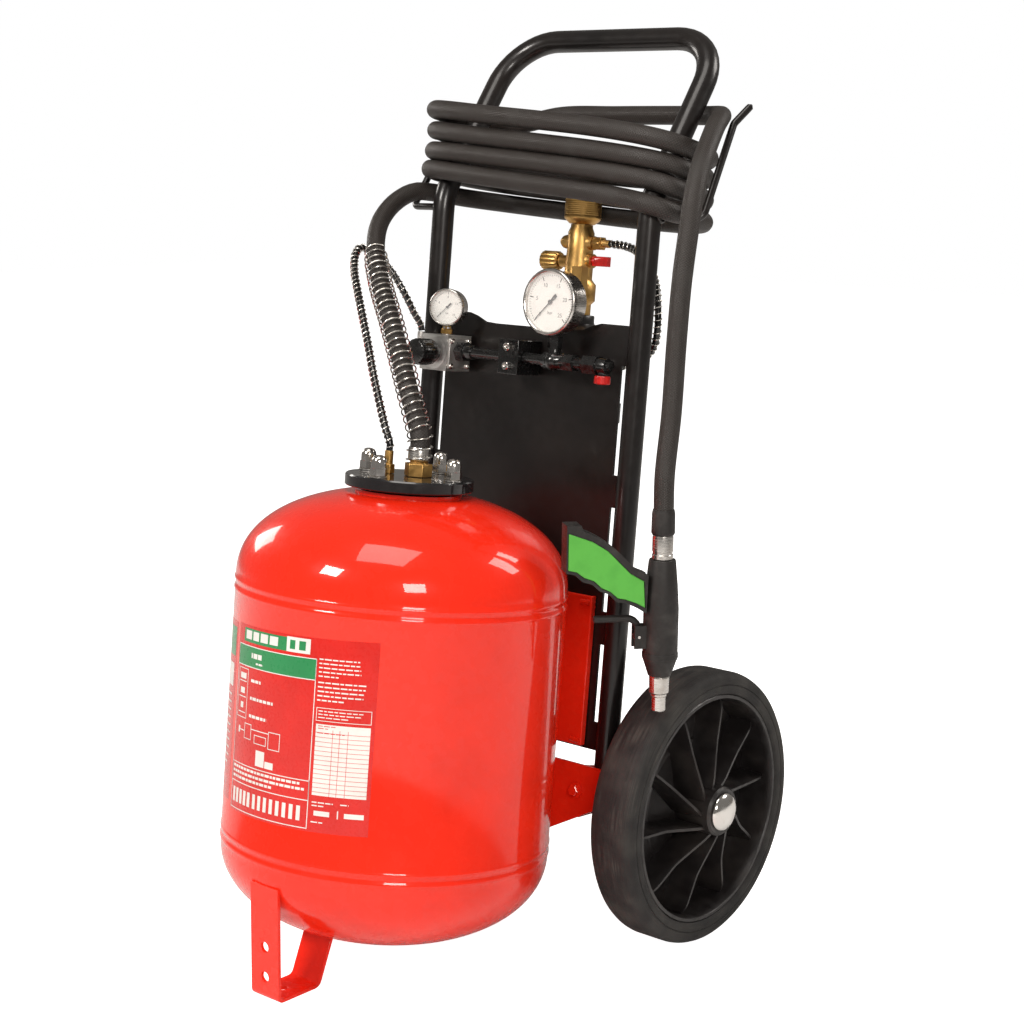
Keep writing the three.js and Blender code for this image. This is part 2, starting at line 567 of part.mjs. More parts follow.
// ---------------------------------------------------------------- gas cylinder and its valve
function addGasCylinder() {
  const bottle = turned([
    [0, CYLINDER_BOTTOM], [40, CYLINDER_BOTTOM], [52, CYLINDER_BOTTOM + 5], [CYLINDER_R, CYLINDER_BOTTOM + 20],
    [CYLINDER_R, CYLINDER_SHOULDER], [54, CYLINDER_SHOULDER + 18], [42, CYLINDER_SHOULDER + 36],
    [26, CYLINDER_SHOULDER + 47], [20, CYLINDER_TOP - 8], [20, CYLINDER_TOP], [9, CYLINDER_TOP],
    [9, CYLINDER_TOP - 18], [38, CYLINDER_SHOULDER + 32], [49, CYLINDER_SHOULDER + 16],
    [CYLINDER_R - CYLINDER_WALL, CYLINDER_SHOULDER], [CYLINDER_R - CYLINDER_WALL, CYLINDER_BOTTOM + 22],
    [48, CYLINDER_BOTTOM + 10], [38, CYLINDER_BOTTOM + 6], [0, CYLINDER_BOTTOM + 6],
  ], 28).translate(0, CYLINDER_Y, 0);
  place('gas_cylinder', bottle, BLACK_STEEL());

  // Straps: a band round the cylinder with two ears bolted against the back plate.
  const plateBack = FRAME_Y + PLATE_T / 2 + GAP;
  for (const [name, z] of [['cylinder_strap_lower', 150], ['cylinder_strap_upper', 400]]) {
    const outerR = CYLINDER_R + GAP + STRAP_T;
    const band = ring(CYLINDER_R + GAP, outerR, z, z + STRAP_WIDTH, 28).translate(0, CYLINDER_Y, 0);
    const ears = [-1, 1].flatMap((s) => [
      box(STRAP_T, CYLINDER_Y - plateBack, STRAP_WIDTH, s * (outerR - STRAP_T / 2), (CYLINDER_Y + plateBack) / 2,
        z + STRAP_WIDTH / 2),
      box(26, STRAP_T, STRAP_WIDTH, s * (outerR + 11), plateBack + STRAP_T / 2, z + STRAP_WIDTH / 2),
    ]);
    place(name, join(band, ...ears), BLACK_STEEL());
  }

  // Valve: a flared base, a body with ports on both sides and a lug, and a neck under its turning cap.
  const base = CYLINDER_TOP + GAP;
  const body = turned([
    [0, base], [17, base], [17, base + 12], [21, base + 16], [21, base + 34], [16, base + 40], [16, base + 56],
    [15, base + 70], [15, base + 92], [12.5, base + 98], [12.5, base + 101], [0, base + 101],
  ], 20);
  const portZ = base + 81;
  const keyZ = base + 61;
  const rightPort = alongX(disc(8, 0, 20, 14)).translate(0, 0, portZ);
  const leftPort = alongX(turned([[0, -27], [4, -26.5], [7, -23], [8, -19], [8, 0], [0, 0]], 14))
    .translate(0, 0, portZ);
  const keyPort = alongX(disc(8, 0, 20, 14)).translate(0, 0, keyZ);
  const chargingPort = alongX(disc(7, -26, 0, 14)).translate(0, 0, keyZ - 2);
  const lug = box(14, 12, 24, 13, -14, base + 42);
  const keyBore = alongX(disc(boreFor(KEY_SHAFT_R, 14), 8, 30, 14)).translate(0, 0, keyZ);
  const valve = cut(join(body, rightPort, leftPort, keyPort, chargingPort, lug), keyBore);
  place('cylinder_valve', valve.translate(0, CYLINDER_Y, 0), BRASS());

  const capBottom = base + 101 + RUN_GAP;
  const cap = turned([[0, capBottom], [15, capBottom], [21, capBottom + 6], [21, capBottom + 33],
    [19, capBottom + 35], [0, capBottom + 35]], 24);
  place('valve_cap', cap.translate(0, CYLINDER_Y, 0), BRASS());

  const key = join(alongX(disc(KEY_SHAFT_R, 10, 24, 14)), box(22, 6, 11, 20 + RUN_GAP + 11, 0, 0));
  place('valve_key', key.translate(0, CYLINDER_Y, keyZ), RED());
  const chargingNut = alongX(turned([[0, -52], [9, -52], [11, -50], [11, -29], [9, -26 - GAP], [0, -26 - GAP]], 18));
  place('valve_charging_nut', chargingNut.translate(0, CYLINDER_Y, keyZ - 2), BRASS());
  const outlet = join(alongX(hex(14, 20 + GAP, 32)), alongX(disc(4.5, 31.9, 42, 16)));
  place('valve_outlet_fitting', outlet.translate(0, CYLINDER_Y, portZ), BRASS());
}

// ---------------------------------------------------------------- manifold and gauges
function addManifold() {
  const half = BLOCK / 2;
  const front = PIPE_Y - half;
  const shape = box(BLOCK, BLOCK, BLOCK, BLOCK_X, PIPE_Y, PIPE_Z - 3);
  const stem = disc(5, PIPE_Z - 3 + half - 0.5, SMALL_GAUGE_Z - SMALL_GAUGE_R - 1, 16).translate(BLOCK_X, PIPE_Y, 0);
  const fitting = bentRod([
    [BLOCK_X - half + 0.5, PIPE_Y - 2, PIPE_Z - 2],
    [ELBOW_X, PIPE_Y - 2, PIPE_Z - 2],
    [ELBOW_X, PIPE_Y - 2, ELBOW_TOP],
  ], 4.5, 6, 10, 4);
  place('regulator_block', join(shape, stem, fitting), STEEL());
  const knobZ = PIPE_Z - 3;
  const knob = turned([[0, GAP], [11, GAP], [11, 6], [15, 7], [15, 30], [13.5, 32], [0, 32]], 20);
  place('regulator_knob', alongFront(knob).translate(BLOCK_X, front, knobZ), BLACK_PLASTIC());

  const clampHalf = 14;
  const pipeStart = BLOCK_X + half + GAP;
  const teeStart = TEE_X - 12;
  const pipe = join(
    alongX(disc(PIPE_R, pipeStart, teeStart - GAP, 16)),
    alongX(hex(20, pipeStart, pipeStart + 12)),
    alongX(disc(8, pipeStart + 11.9, pipeStart + 22, 16)),
  );
  place('manifold_pipe', pipe.translate(0, PIPE_Y, PIPE_Z), BLACK_PLASTIC());
  const clampBack = FRAME_Y - PLATE_T / 2 - GAP;
  const clampFront = PIPE_Y - 12;
  const clampBody = box(2 * clampHalf, clampBack - clampFront, 38, CLAMP_X, (clampBack + clampFront) / 2, PIPE_Z);
  const clampBore = alongX(disc(PIPE_R + GAP, CLAMP_X - 20, CLAMP_X + 20, 20)).translate(0, PIPE_Y, PIPE_Z);
  place('manifold_clamp', cut(clampBody, clampBore), BLACK_PLASTIC());

  // Tee under the large gauge, and the run of couplings to its right.
  const stemTop = LARGE_GAUGE_Z - LARGE_GAUGE_R - GAP;
  const run = join(
    alongX(disc(9, teeStart, TEE_X + 14, 16)).translate(0, PIPE_Y, PIPE_Z),
    new THREE.SphereGeometry(11, 12, 8).translate(TEE_X, PIPE_Y, PIPE_Z),
    alongX(hex(17, TEE_X + 13.9, TEE_X + 30)).translate(0, PIPE_Y, PIPE_Z),
    alongX(disc(6.5, TEE_X + 29.9, TEE_X + 44, 16)).translate(0, PIPE_Y, PIPE_Z),
    alongX(hex(19, TEE_X + 43.9, TEE_X + 62)).translate(0, PIPE_Y, PIPE_Z),
    alongX(disc(8.5, TEE_X + 61.9, TEE_X + 74, 14)).translate(0, PIPE_Y, PIPE_Z),
    alongX(disc(5, TEE_X + 73.9, TEE_X + 78, 12)).translate(0, PIPE_Y, PIPE_Z),
    disc(7, PIPE_Z + 5, PIPE_Z + 14, 16).translate(TEE_X, PIPE_Y, 0),
    hex(14, PIPE_Z + 13.9, stemTop).translate(TEE_X, PIPE_Y, 0),
    disc(5, PIPE_Z - 10, PIPE_Z, 12).translate(BLEED_X, PIPE_Y, 0),
    disc(BULKHEAD_R, -BULKHEAD_END, -PIPE_Y, 16).rotateX(Math.PI / 2).translate(BULKHEAD_X, 0, PIPE_Z),
  );
  place('manifold_tee', run, BLACK_PLASTIC());
  const knobTop = PIPE_Z - 10 - RUN_GAP;
  place('bleed_knob', turned([[0, knobTop - 9], [8, knobTop - 9], [9, knobTop - 8], [9, knobTop - 1], [8, knobTop],
    [0, knobTop]], 20).translate(BLEED_X, PIPE_Y, 0), RED());

  addGauge('large_gauge', LARGE_GAUGE_R, 26, 0, TEE_X - 2, PIPE_Y - 2, LARGE_GAUGE_Z);
  addGauge('small_gauge', SMALL_GAUGE_R, 20, THREE.MathUtils.degToRad(20), BLOCK_X + 2, PIPE_Y - 1, SMALL_GAUGE_Z);
}

// A round pressure gauge that faces the front, turned a little to the right by `turn`.
function addGauge(name, radius, depth, turn, x, y, z) {
  const half = depth / 2;
  const rimT = radius * 0.1;
  const aim = (geometry) => alongFront(geometry).rotateZ(turn).translate(x, y, z);
  const body = turned([
    [0, -half], [radius * 0.9, -half], [radius * 0.94, -half + 2], [radius * 0.94, half - 6], [radius, half - 5],
    [radius, half - 1], [radius - 1, half], [radius - rimT, half], [radius - rimT, half - 5], [0, half - 5],
  ], 28);
  const stub = disc(4, 0, 6, 12).rotateX(-Math.PI / 2).translate(0, -radius * 0.97, 0);
  place(`${name}_case`, aim(join(body, stub)), STEEL());
  // The needle: a tapered pointer with a round tail, standing just off the dial.
  const pin = disc(radius * 0.07, half - 5 + GAP, half - 2.6, 14);
  const reach = radius * 0.72;
  const blade = new THREE.ExtrudeGeometry(new THREE.Shape([
    new THREE.Vector2(-radius * 0.04, -radius * 0.3),
    new THREE.Vector2(radius * 0.04, -radius * 0.3),
    new THREE.Vector2(radius * 0.015, reach),
    new THREE.Vector2(-radius * 0.015, reach),
  ]), { depth: 0.8, bevelEnabled: false }).rotateZ(THREE.MathUtils.degToRad(135)).translate(0, 0, half - 4.2);
  place(`${name}_needle`, aim(join(pin, blade)), BLACK_PLASTIC());
  place(`${name}_lens`, aim(disc(radius - rimT - GAP, half - 2, half - 0.6, 28)), WHITE());
}

// ---------------------------------------------------------------- hoses
// The coil is a squared oval of hose wound round both legs of the handle, each turn one pitch higher.
// The angle is zero at its left end and grows towards the back.
function coilPoint(angle, offset = 0) {
  const c = Math.cos(angle);
  const s = Math.sin(angle);
  const power = coilPower(s);
  const x = COIL_X - (COIL_HALF_LENGTH + offset) * Math.sign(c) * Math.abs(c) ** power;
  const y = COIL_Y + (COIL_HALF_DEPTH + offset) * Math.sign(s) * Math.abs(s) ** power;
  const z = COIL_Z + (COIL_PITCH * angle) / (2 * Math.PI)
    - COIL_SIDE_TILT * (x - COIL_X) - COIL_BACK_TILT * (y - COIL_Y);
  return [x, y, z];
}

// The exponent of the squared oval, in its front half and in its back half.
function coilPower(side) {
  return 2 / (side < 0 ? COIL_FRONT_SQUARENESS : COIL_BACK_SQUARENESS);
}

// Half of the wound stack as one band, from angle `start` to half a turn on, `turns` hoses high.
function coilBand(start, turns) {
  const steps = 16;
  const edge = (offset) => Array.from({ length: steps + 1 }, (_, i) =>
    coilPoint(start + (Math.PI * i) / steps, offset));
  const outline = [...edge(HOSE_R), ...edge(-HOSE_R).reverse()].map(([x, y]) => new THREE.Vector2(x, y));
  const band = new THREE.ExtrudeGeometry(new THREE.Shape(outline), { depth: 1, bevelEnabled: false });
  const spots = band.attributes.position;
  for (let i = 0; i < spots.count; i += 1) {
    const x = spots.getX(i);
    const y = spots.getY(i);
    const power = coilPower(y - COIL_Y);
    let angle = Math.atan2(
      Math.sign(y - COIL_Y) * (Math.abs(y - COIL_Y) / COIL_HALF_DEPTH) ** (1 / power),
      -Math.sign(x - COIL_X) * (Math.abs(x - COIL_X) / COIL_HALF_LENGTH) ** (1 / power),
    );
    while (angle < start - 0.02) angle += 2 * Math.PI;
    while (angle > start + Math.PI + 0.02) angle -= 2 * Math.PI;
    const low = COIL_Z + (COIL_PITCH * angle) / (2 * Math.PI) - HOSE_R
      - COIL_SIDE_TILT * (x - COIL_X) - COIL_BACK_TILT * (y - COIL_Y);
    const height = 2 * HOSE_R + COIL_PITCH * (turns - 1);
    spots.setZ(i, low + spots.getZ(i) * height);
  }
  return band;
}

const COIL_FIRST = Math.PI; // where the rising hose joins the wound stack, at its right end
const COIL_END_GAP = 0.04; // radians
const COIL_LAST = 8 * Math.PI; // where the last hose leaves it, at its left end

function addHoses() {
  const outlet = [8, TANK_Y + 4];
  const start = LID_BOTTOM + LID_T + OUTLET_NUT + 2 + TANK_FERRULE + 2 * GAP;
  // Up from the tank, over to the left upright, behind it, and along the back to the coil's right end.
  const riser = [
    [outlet[0], outlet[1], start],
    [outlet[0], outlet[1], start + 8],
    [-3, -244, 400],
    [-20, -238, 424],
    [-46, -225, 454],
    [-85, -205, 497],
    [-130, -180, 539],
    [-164, -156, 577],
    [-186, -128, 608],
    [-193, -98, 632],
    [-190, -70, 646],
    [-182, -46, 647],
    [-162, -16, 644],
  ];
  for (let i = 0; i <= 16; i += 1) {
    const a = 0.3 * Math.PI + (COIL_FIRST - COIL_END_GAP - 0.3 * Math.PI) * (i / 16);
    riser.push(coilPoint(a));
  }
  place('hose_riser', hose(riser, HOSE_R, 10, 30), RUBBER());

  const coil = join(coilBand(COIL_FIRST, 4), coilBand(2 * Math.PI, 3));
  place('hose_coil', cut(coil, frameTube(TUBE_R + GAP), hookRod(1, HOOK_R + GAP)), RUBBER());

  // The last length: along the back above the coil, over its right end, then down to the gun.
  const drop = [];
  for (let i = 0; i <= 4; i += 1) {
    const point = coilPoint(COIL_LAST + COIL_END_GAP + (0.3 * Math.PI * i) / 4);
    point[2] += i;
    drop.push(point);
  }
  drop.push(
    [-70, 40, 745],
    [10, 41, 746],
    [90, 39, 746],
    [140, 31, 745],
    [172, 12, 743],
    [192, -16, 738],
    [206, -44, 726],
    [217, -70, 705],
    [227, -96, 677],
    [234, -113, 645],
    [238, -122, 612],
    [240, -129, 565],
    [241, -131, 500],
    [242, -131, 430],
  );
  const gunTop = GUN_PLACE.clone();
  gunTop.z += FERRULE_LENGTH + 2 * GAP;
  rig.updateMatrix();
  const toRig = rig.matrix.clone().invert();
  for (const rise of [60, 25, 0]) {
    drop.push(gunTop.clone().add(new THREE.Vector3(0, 0, rise)).applyMatrix4(toRig).toArray());
  }
  place('hose_drop', hose(drop, HOSE_R, 10, 32), RUBBER());

  // Thin gas hose from the regulator to the lid.
  const gasTank = [
    [ELBOW_X, PIPE_Y - 2, ELBOW_TOP + 3 * GAP],
    [ELBOW_X - 1, PIPE_Y - 3, ELBOW_TOP + 7],
    [-145, -107, 508],
    [-152, -118, 530],
    [-164, -126, 551],
    [-176, -136, 567],
    [-184, -147, 575],
    [-186, -158, 576],
    [-181, -170, 568],
    [-166, -185, 549],
    [-145, -199, 527],
    [-121, -213, 500],
    [-96, -227, 470],
    [-74, -239, 441],
    [-52, -249, 411],
    [-34, -257, 388],
    [-25, TANK_Y - 7, LID_BOTTOM + LID_T + 32],
    [-25, TANK_Y - 7, LID_BOTTOM + LID_T + 24 + GAP],
  ];
  place('gas_hose_tank', hose(gasTank, GAS_HOSE_R, 8, 16), RUBBER());

  // Thin gas hose from the cylinder valve, down behind the right upright, to the back of the manifold.
  const gasCylinder = [
    [42 + GAP, CYLINDER_Y, CYLINDER_TOP + GAP + 81],
    [50, CYLINDER_Y, CYLINDER_TOP + GAP + 81],
    [75, 2, 597],
    [100, -8, 587],
    [122, -20, 572],
    [139, -32, 553],
    [148, -39, 532],
    [149, -39, 512],
    [143, -34, 494],
    [128, -29, 480],
    [114, -33, 471],
    [BULKHEAD_X, -43, PIPE_Z],
    [BULKHEAD_X, BULKHEAD_END + GAP, PIPE_Z],
  ];
  place('gas_hose_cylinder', hose(gasCylinder, GAS_HOSE_R, 8, 16), RUBBER());
}

// ---------------------------------------------------------------- gun
// The gun hangs with its nozzle down. In its own frame the hose end is the origin, +X points along
// the grip and Z is up.
function addGun() {
  const gun = new THREE.Group();
  gun.position.copy(GUN_PLACE);
  gun.rotation.z = GUN_TURN;
  parked.add(gun);

  const ferrule = turned([[0, GAP], [FERRULE_R, GAP], [FERRULE_R, FERRULE_LENGTH], [0, FERRULE_LENGTH]], 20);
  place('gun_ferrule', ferrule, STEEL(), gun);

  const pivot = [25, -80];
  const body = turned([
    [0, 0], [13.4, 0], [14, -1.5], [16.6, -28], [18.2, -52], [18.2, -104], [17, -107], [12.6, -120], [12, -122], [0, -122],
  ].reverse(), 24);
  const boss = box(16, 14, 24, 21, 0, -80);
  const slot = box(15, 8 + 2 * RUN_GAP, 28, 25.9, 0, -79);
  const pinHole = disc(boreFor(1.5, 12), -10, 10, 12).rotateX(Math.PI / 2).translate(pivot[0] - 1, 0, pivot[1]);
  place('gun_body', cut(join(body, boss), slot, pinHole), BLACK_PLASTIC(), gun);
  place('trigger_pin', disc(1.5, -6.8, 6.8, 12).rotateX(Math.PI / 2).translate(pivot[0] - 1, 0, pivot[1]), STEEL(), gun);

  const nozzle = turned([[0, -160], [6.4, -160], [7.2, -159], [7.2, -145], [8.2, -144], [8.2, -142],
    [10.2, -140], [10.6, -124], [10.2, -122 - GAP], [0, -122 - GAP]], 24);
  place('gun_nozzle', nozzle, STEEL(), gun);

  // Grip: its side view is a rounded back and a front edge with three finger hollows.
  const grip = new THREE.Shape();
  grip.moveTo(17.2, -14);
  grip.splineThru([[30, -8], [42, 4], [56, 17], [72, 27], [86, 33]].map(([x, z]) => new THREE.Vector2(x, z)));
  grip.lineTo(88, 39);
  grip.lineTo(103, 39);
  grip.lineTo(103, -10);
  grip.splineThru([[94, -12], [86, -19], [76, -22], [68, -29], [58, -33], [50, -41], [42, -42], [30, -47], [18.6, -54]]
    .map(([x, z]) => new THREE.Vector2(x, z)));
  const gripSide = 12;
  const body2 = new THREE.ExtrudeGeometry(grip, { depth: 2 * gripSide, bevelEnabled: false, curveSegments: 3 })
    .translate(0, 0, -gripSide).rotateX(Math.PI / 2);
  const inlayShape = gripInlay();
  const pocketDepth = 2;
  const pocket = (grow, depth) => new THREE.ExtrudeGeometry(inlayShape(grow), { depth, bevelEnabled: false, curveSegments: 3 })
    .rotateX(Math.PI / 2);
  const carved = cut(body2, pocket(2 * GAP, pocketDepth + 1).translate(0, gripSide + 1, 0), disc(19, -110, 0, 24));
  place('gun_grip', carved, BLACK_PLASTIC(), gun);
  place('grip_inlay', pocket(0, pocketDepth).translate(0, gripSide, 0), GREEN(), gun);

  // Trigger: a curved lever on a pin at the side of the body.
  const arm = bentRod([[24, 0, -84], [24, 0, -61], [71, 0, -61]], 3.8, 12, 10, 5);
  const eye = disc(5, -3.8, 3.8, 16).rotateX(Math.PI / 2).translate(pivot[0] - 1, 0, pivot[1]);
  const eyeHole = disc(boreFor(1.5, 12), -8, 8, 12).rotateX(Math.PI / 2).translate(pivot[0] - 1, 0, pivot[1]);
  place('gun_trigger', cut(join(arm, eye), eyeHole), BLACK_PLASTIC(), gun);
}

// Outline of the coloured grip panel, shrunk or grown about its middle.
function gripInlay() {
  const outline = [[22, -20], [36, -12], [48, 0], [60, 12], [76, 22], [101, 31], [101, -7], [92, -9], [84, -15],
    [74, -18.5], [66, -26], [57, -30], [49, -37], [41, -38.5], [29, -43], [20, -48]];
  const centre = new THREE.Vector2(58, -8);
  return (grow) => new THREE.Shape(outline.map(([x, z]) => {
    const point = new THREE.Vector2(x, z);
    const out = point.clone().sub(centre).normalize().multiplyScalar(grow);
    return point.add(out);
  }));
}

addFrame();
addBrackets();
addTank();
addFoot();
addWheel('left', -1);
addWheel('right', 1);
addGasCylinder();
addManifold();
addHoses();
addGun();

export default group;
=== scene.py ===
"""Looks of a wheeled fire extinguisher: surfaces, finishes, hoses, label, lights and camera.

Sizes in the tables below are millimetres. Most are in the rig frame, whose origin is the middle of
the axle and whose Z axis runs along the uprights, which lean back. RIG, PARKED and GUN turn such
points into metres in the row frame.
"""

import json

import bmesh
import bpy
import numpy as np
from mathutils import Matrix, Vector


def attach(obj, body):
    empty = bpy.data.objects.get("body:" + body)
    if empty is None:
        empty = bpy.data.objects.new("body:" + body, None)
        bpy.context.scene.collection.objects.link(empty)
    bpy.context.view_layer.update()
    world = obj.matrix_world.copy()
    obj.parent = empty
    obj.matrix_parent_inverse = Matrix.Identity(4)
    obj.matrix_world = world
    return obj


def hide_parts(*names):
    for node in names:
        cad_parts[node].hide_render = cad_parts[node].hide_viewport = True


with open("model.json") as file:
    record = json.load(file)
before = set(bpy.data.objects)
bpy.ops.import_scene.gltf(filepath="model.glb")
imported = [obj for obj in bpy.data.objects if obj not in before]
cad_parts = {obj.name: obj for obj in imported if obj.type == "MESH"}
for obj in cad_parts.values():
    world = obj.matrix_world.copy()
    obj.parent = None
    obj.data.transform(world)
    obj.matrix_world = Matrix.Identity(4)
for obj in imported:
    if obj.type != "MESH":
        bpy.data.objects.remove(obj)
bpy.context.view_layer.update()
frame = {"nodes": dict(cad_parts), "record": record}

bl_info = {
    "name": "Wheeled Extinguisher Looks",
    "version": (1, 0, 0),
    "blender": (4, 5, 0),
    "location": "3D View > Sidebar > Extinguisher",
    "description": "Surfaces, finishes, hoses and stage for a wheeled fire extinguisher",
    "category": "Object",
}

SLOT_OF = {part["node"]: part["material_slot"] for part in frame["record"]["subparts"]}
BODY_OF = {node: body for body, nodes in frame["record"]["behaviour"]["bodies"].items() for node in nodes}
FINISH = {}

LEAN = np.radians(5.35)
AXLE_Y = 140.0
WHEEL_R = 150.0
TANK_Y = -251.5
TANK_R = 174.5
STUD_CIRCLE_R = 55.0
HOSE_R = 10.4
GAS_HOSE_R = 3.6
GUN_PLACE = np.array([243.0, -100.5, 442.0])
GUN_TURN = np.radians(-128.3)
TUBE_SHARP = 40.0


# ------------------------------------------------------------------ frames
def RIG(points):
    """Rig millimetres to row metres: turned back by the lean about X, then raised to the axle."""
    x, y, z = np.moveaxis(np.asarray(points, float), -1, 0)
    c, s = np.cos(LEAN), np.sin(LEAN)
    return np.stack([x, AXLE_Y + y * c + z * s, WHEEL_R + z * c - y * s], -1) / 1000


def PARKED(points):
    """Millimetres from the floor under the axle to row metres."""
    return (np.asarray(points, float) + np.array([0.0, AXLE_Y, 0.0])) / 1000


def GUN(points):
    """Gun millimetres, hose end at the origin and X along the grip, to row metres."""
    x, y, z = np.moveaxis(np.asarray(points, float), -1, 0)
    c, s = np.cos(GUN_TURN), np.sin(GUN_TURN)
    return PARKED(np.stack([x * c - y * s, x * s + y * c, z], -1) + GUN_PLACE)


def turn_axis(points, axis):
    """Turns points made about Z so that their axis runs along X, or to the front (-Y)."""
    x, y, z = np.moveaxis(points, -1, 0)
    if axis == "X":
        return np.stack([z, y, -x], -1)
    if axis == "FRONT":
        return np.stack([x, -z, y], -1)
    return points


# ------------------------------------------------------------------ surfaces
def surface(name, points, wrap_u=False, wrap_v=True, uv_size=(1.0, 1.0), sharp=32.0, outward=True):
    """A mesh on the grid points[u, v], in metres, joined up round u or v where it wraps.

    The UV map runs 0 to uv_size along each parameter. Doubled points, such as a pole, are merged.
    """
    rows, cols = points.shape[:2]
    steps = [np.arange(count if wraps else count - 1) for count, wraps in ((rows, wrap_u), (cols, wrap_v))]
    a, b = np.meshgrid(*steps, indexing="ij")
    corner_u = np.stack([a, a + 1, a + 1, a], -1).reshape(-1, 4)
    corner_v = np.stack([b, b, b + 1, b + 1], -1).reshape(-1, 4)
    corners = (corner_u % rows) * cols + corner_v % cols
    uv = np.stack([corner_u * uv_size[0] / max(rows - 1, 1), corner_v * uv_size[1] / cols], -1)
    mesh = bpy.data.meshes.new(name)
    mesh.vertices.add(rows * cols)
    mesh.vertices.foreach_set("co", points.reshape(-1).astype(np.float32))
    mesh.loops.add(corners.size)
    mesh.loops.foreach_set("vertex_index", corners.reshape(-1).astype(np.int32))
    mesh.polygons.add(len(corners))
    mesh.polygons.foreach_set("loop_start", np.arange(0, corners.size, 4, dtype=np.int32))
    mesh.update(calc_edges=True)
    layer = mesh.uv_layers.new(name="surface")
    layer.data.foreach_set("uv", uv.reshape(-1).astype(np.float32))
    return finished(name, mesh, sharp, outward)


def finished(name, mesh, sharp=32.0, outward=True, merge=2e-6, flat=False):
    """Merges doubles, turns the faces outwards, smooths up to the sharp angle and links the object."""
    bm = bmesh.new()
    bm.from_mesh(mesh)
    bmesh.ops.remove_doubles(bm, verts=bm.verts, dist=merge)
    if flat:
        bmesh.ops.dissolve_limit(bm, angle_limit=np.radians(0.6), verts=bm.verts, edges=bm.edges)
    bmesh.ops.dissolve_degenerate(bm, edges=bm.edges, dist=1e-7)
    if outward:
        bmesh.ops.recalc_face_normals(bm, faces=bm.faces)
    bm.to_mesh(mesh)
    bm.free()
    mesh.shade_smooth()
    mesh.set_sharp_from_angle(angle=np.radians(sharp))
    around = np.empty(len(mesh.loops), np.int32)
    mesh.loops.foreach_get("edge_index", around)
    hard = np.empty(len(mesh.edges), bool)
    mesh.edges.foreach_get("use_edge_sharp", hard)
    mesh.edges.foreach_set("use_edge_sharp", hard | (np.bincount(around, minlength=len(mesh.edges)) == 1))
    piece = bpy.data.objects.new(name, mesh)
    bpy.context.scene.collection.objects.link(piece)
    return piece


def lathe(name, profile, at=(0, 0, 0), axis="Z", place=RIG, sides=72, flutes=0, flute_depth=0.0, sharp=32.0):
    """A profile of (radius, height) turned about an axis.

    point(u, v) = at + (r(u) k(v) cos v, r(u) k(v) sin v, h(u)), where k(v) = 1 - depth |cos(flutes v / 2)|
    cuts flutes into the turned surface.
    """
    r, h = np.array(profile, float).T
    angle = np.arange(sides) * 2 * np.pi / sides
    k = 1 - flute_depth * np.abs(np.cos(flutes * angle / 2)) if flutes else np.ones(sides)
    rings = [np.outer(r, k * np.cos(angle)), np.outer(r, k * np.sin(angle)), np.outer(h, np.ones(sides))]
    points = turn_axis(np.stack(rings, -1), axis) + np.asarray(at, float)
    return surface(name, place(points), sharp=sharp)


def route(points, step):
    """A centripetal Catmull-Rom curve through the points, cut into even steps.

    Each stretch is A blended into B and C blended into D twice over, with knots at the square root of
    the distance between points.
    """
    p = np.asarray(points, float)
    p = np.vstack([2 * p[0] - p[1], p, 2 * p[-1] - p[-2]])
    knots = np.concatenate([[0.0], np.cumsum(np.linalg.norm(np.diff(p, axis=0), axis=1) ** 0.5)])
    t0, t1, t2, t3 = (knots[i : len(knots) - 3 + i, None, None] for i in range(4))
    p0, p1, p2, p3 = (p[i : len(p) - 3 + i, None, :] for i in range(4))
    t = t1 + (t2 - t1) * np.linspace(0, 1, 16, endpoint=False)[None, :, None]
    a1 = (t1 - t) / (t1 - t0) * p0 + (t - t0) / (t1 - t0) * p1
    a2 = (t2 - t) / (t2 - t1) * p1 + (t - t1) / (t2 - t1) * p2
    a3 = (t3 - t) / (t3 - t2) * p2 + (t - t2) / (t3 - t2) * p3
    b1 = (t2 - t) / (t2 - t0) * a1 + (t - t0) / (t2 - t0) * a2
    b2 = (t3 - t) / (t3 - t1) * a2 + (t - t1) / (t3 - t1) * a3
    line = np.vstack([((t2 - t) / (t2 - t1) * b1 + (t - t1) / (t2 - t1) * b2).reshape(-1, 3), p[-2]])
    return evenly(line, step)


def evenly(line, step):
    """The same line with its points the same distance apart."""
    length = np.concatenate([[0.0], np.cumsum(np.linalg.norm(np.diff(line, axis=0), axis=1))])
    at = np.linspace(0, length[-1], max(2, int(round(length[-1] / step)) + 1))
    return np.stack([np.interp(at, length, line[:, k]) for k in range(3)], -1)


def length_of(line):
    return float(np.linalg.norm(np.diff(line, axis=0), axis=1).sum())


def carried_frame(line):
    """Two directions square to the line at each of its points, carried along it without twist."""
    tangent = np.gradient(line, axis=0)
    tangent /= np.linalg.norm(tangent, axis=1, keepdims=True)
    side = np.empty_like(line)
    first = np.cross(tangent[0], [0.3, 0.9, 0.31])
    side[0] = first / np.linalg.norm(first)
    for i in range(1, len(line)):
        across = side[i - 1] - side[i - 1].dot(tangent[i]) * tangent[i]
        side[i] = across / np.linalg.norm(across)
    return side, np.cross(tangent, side)


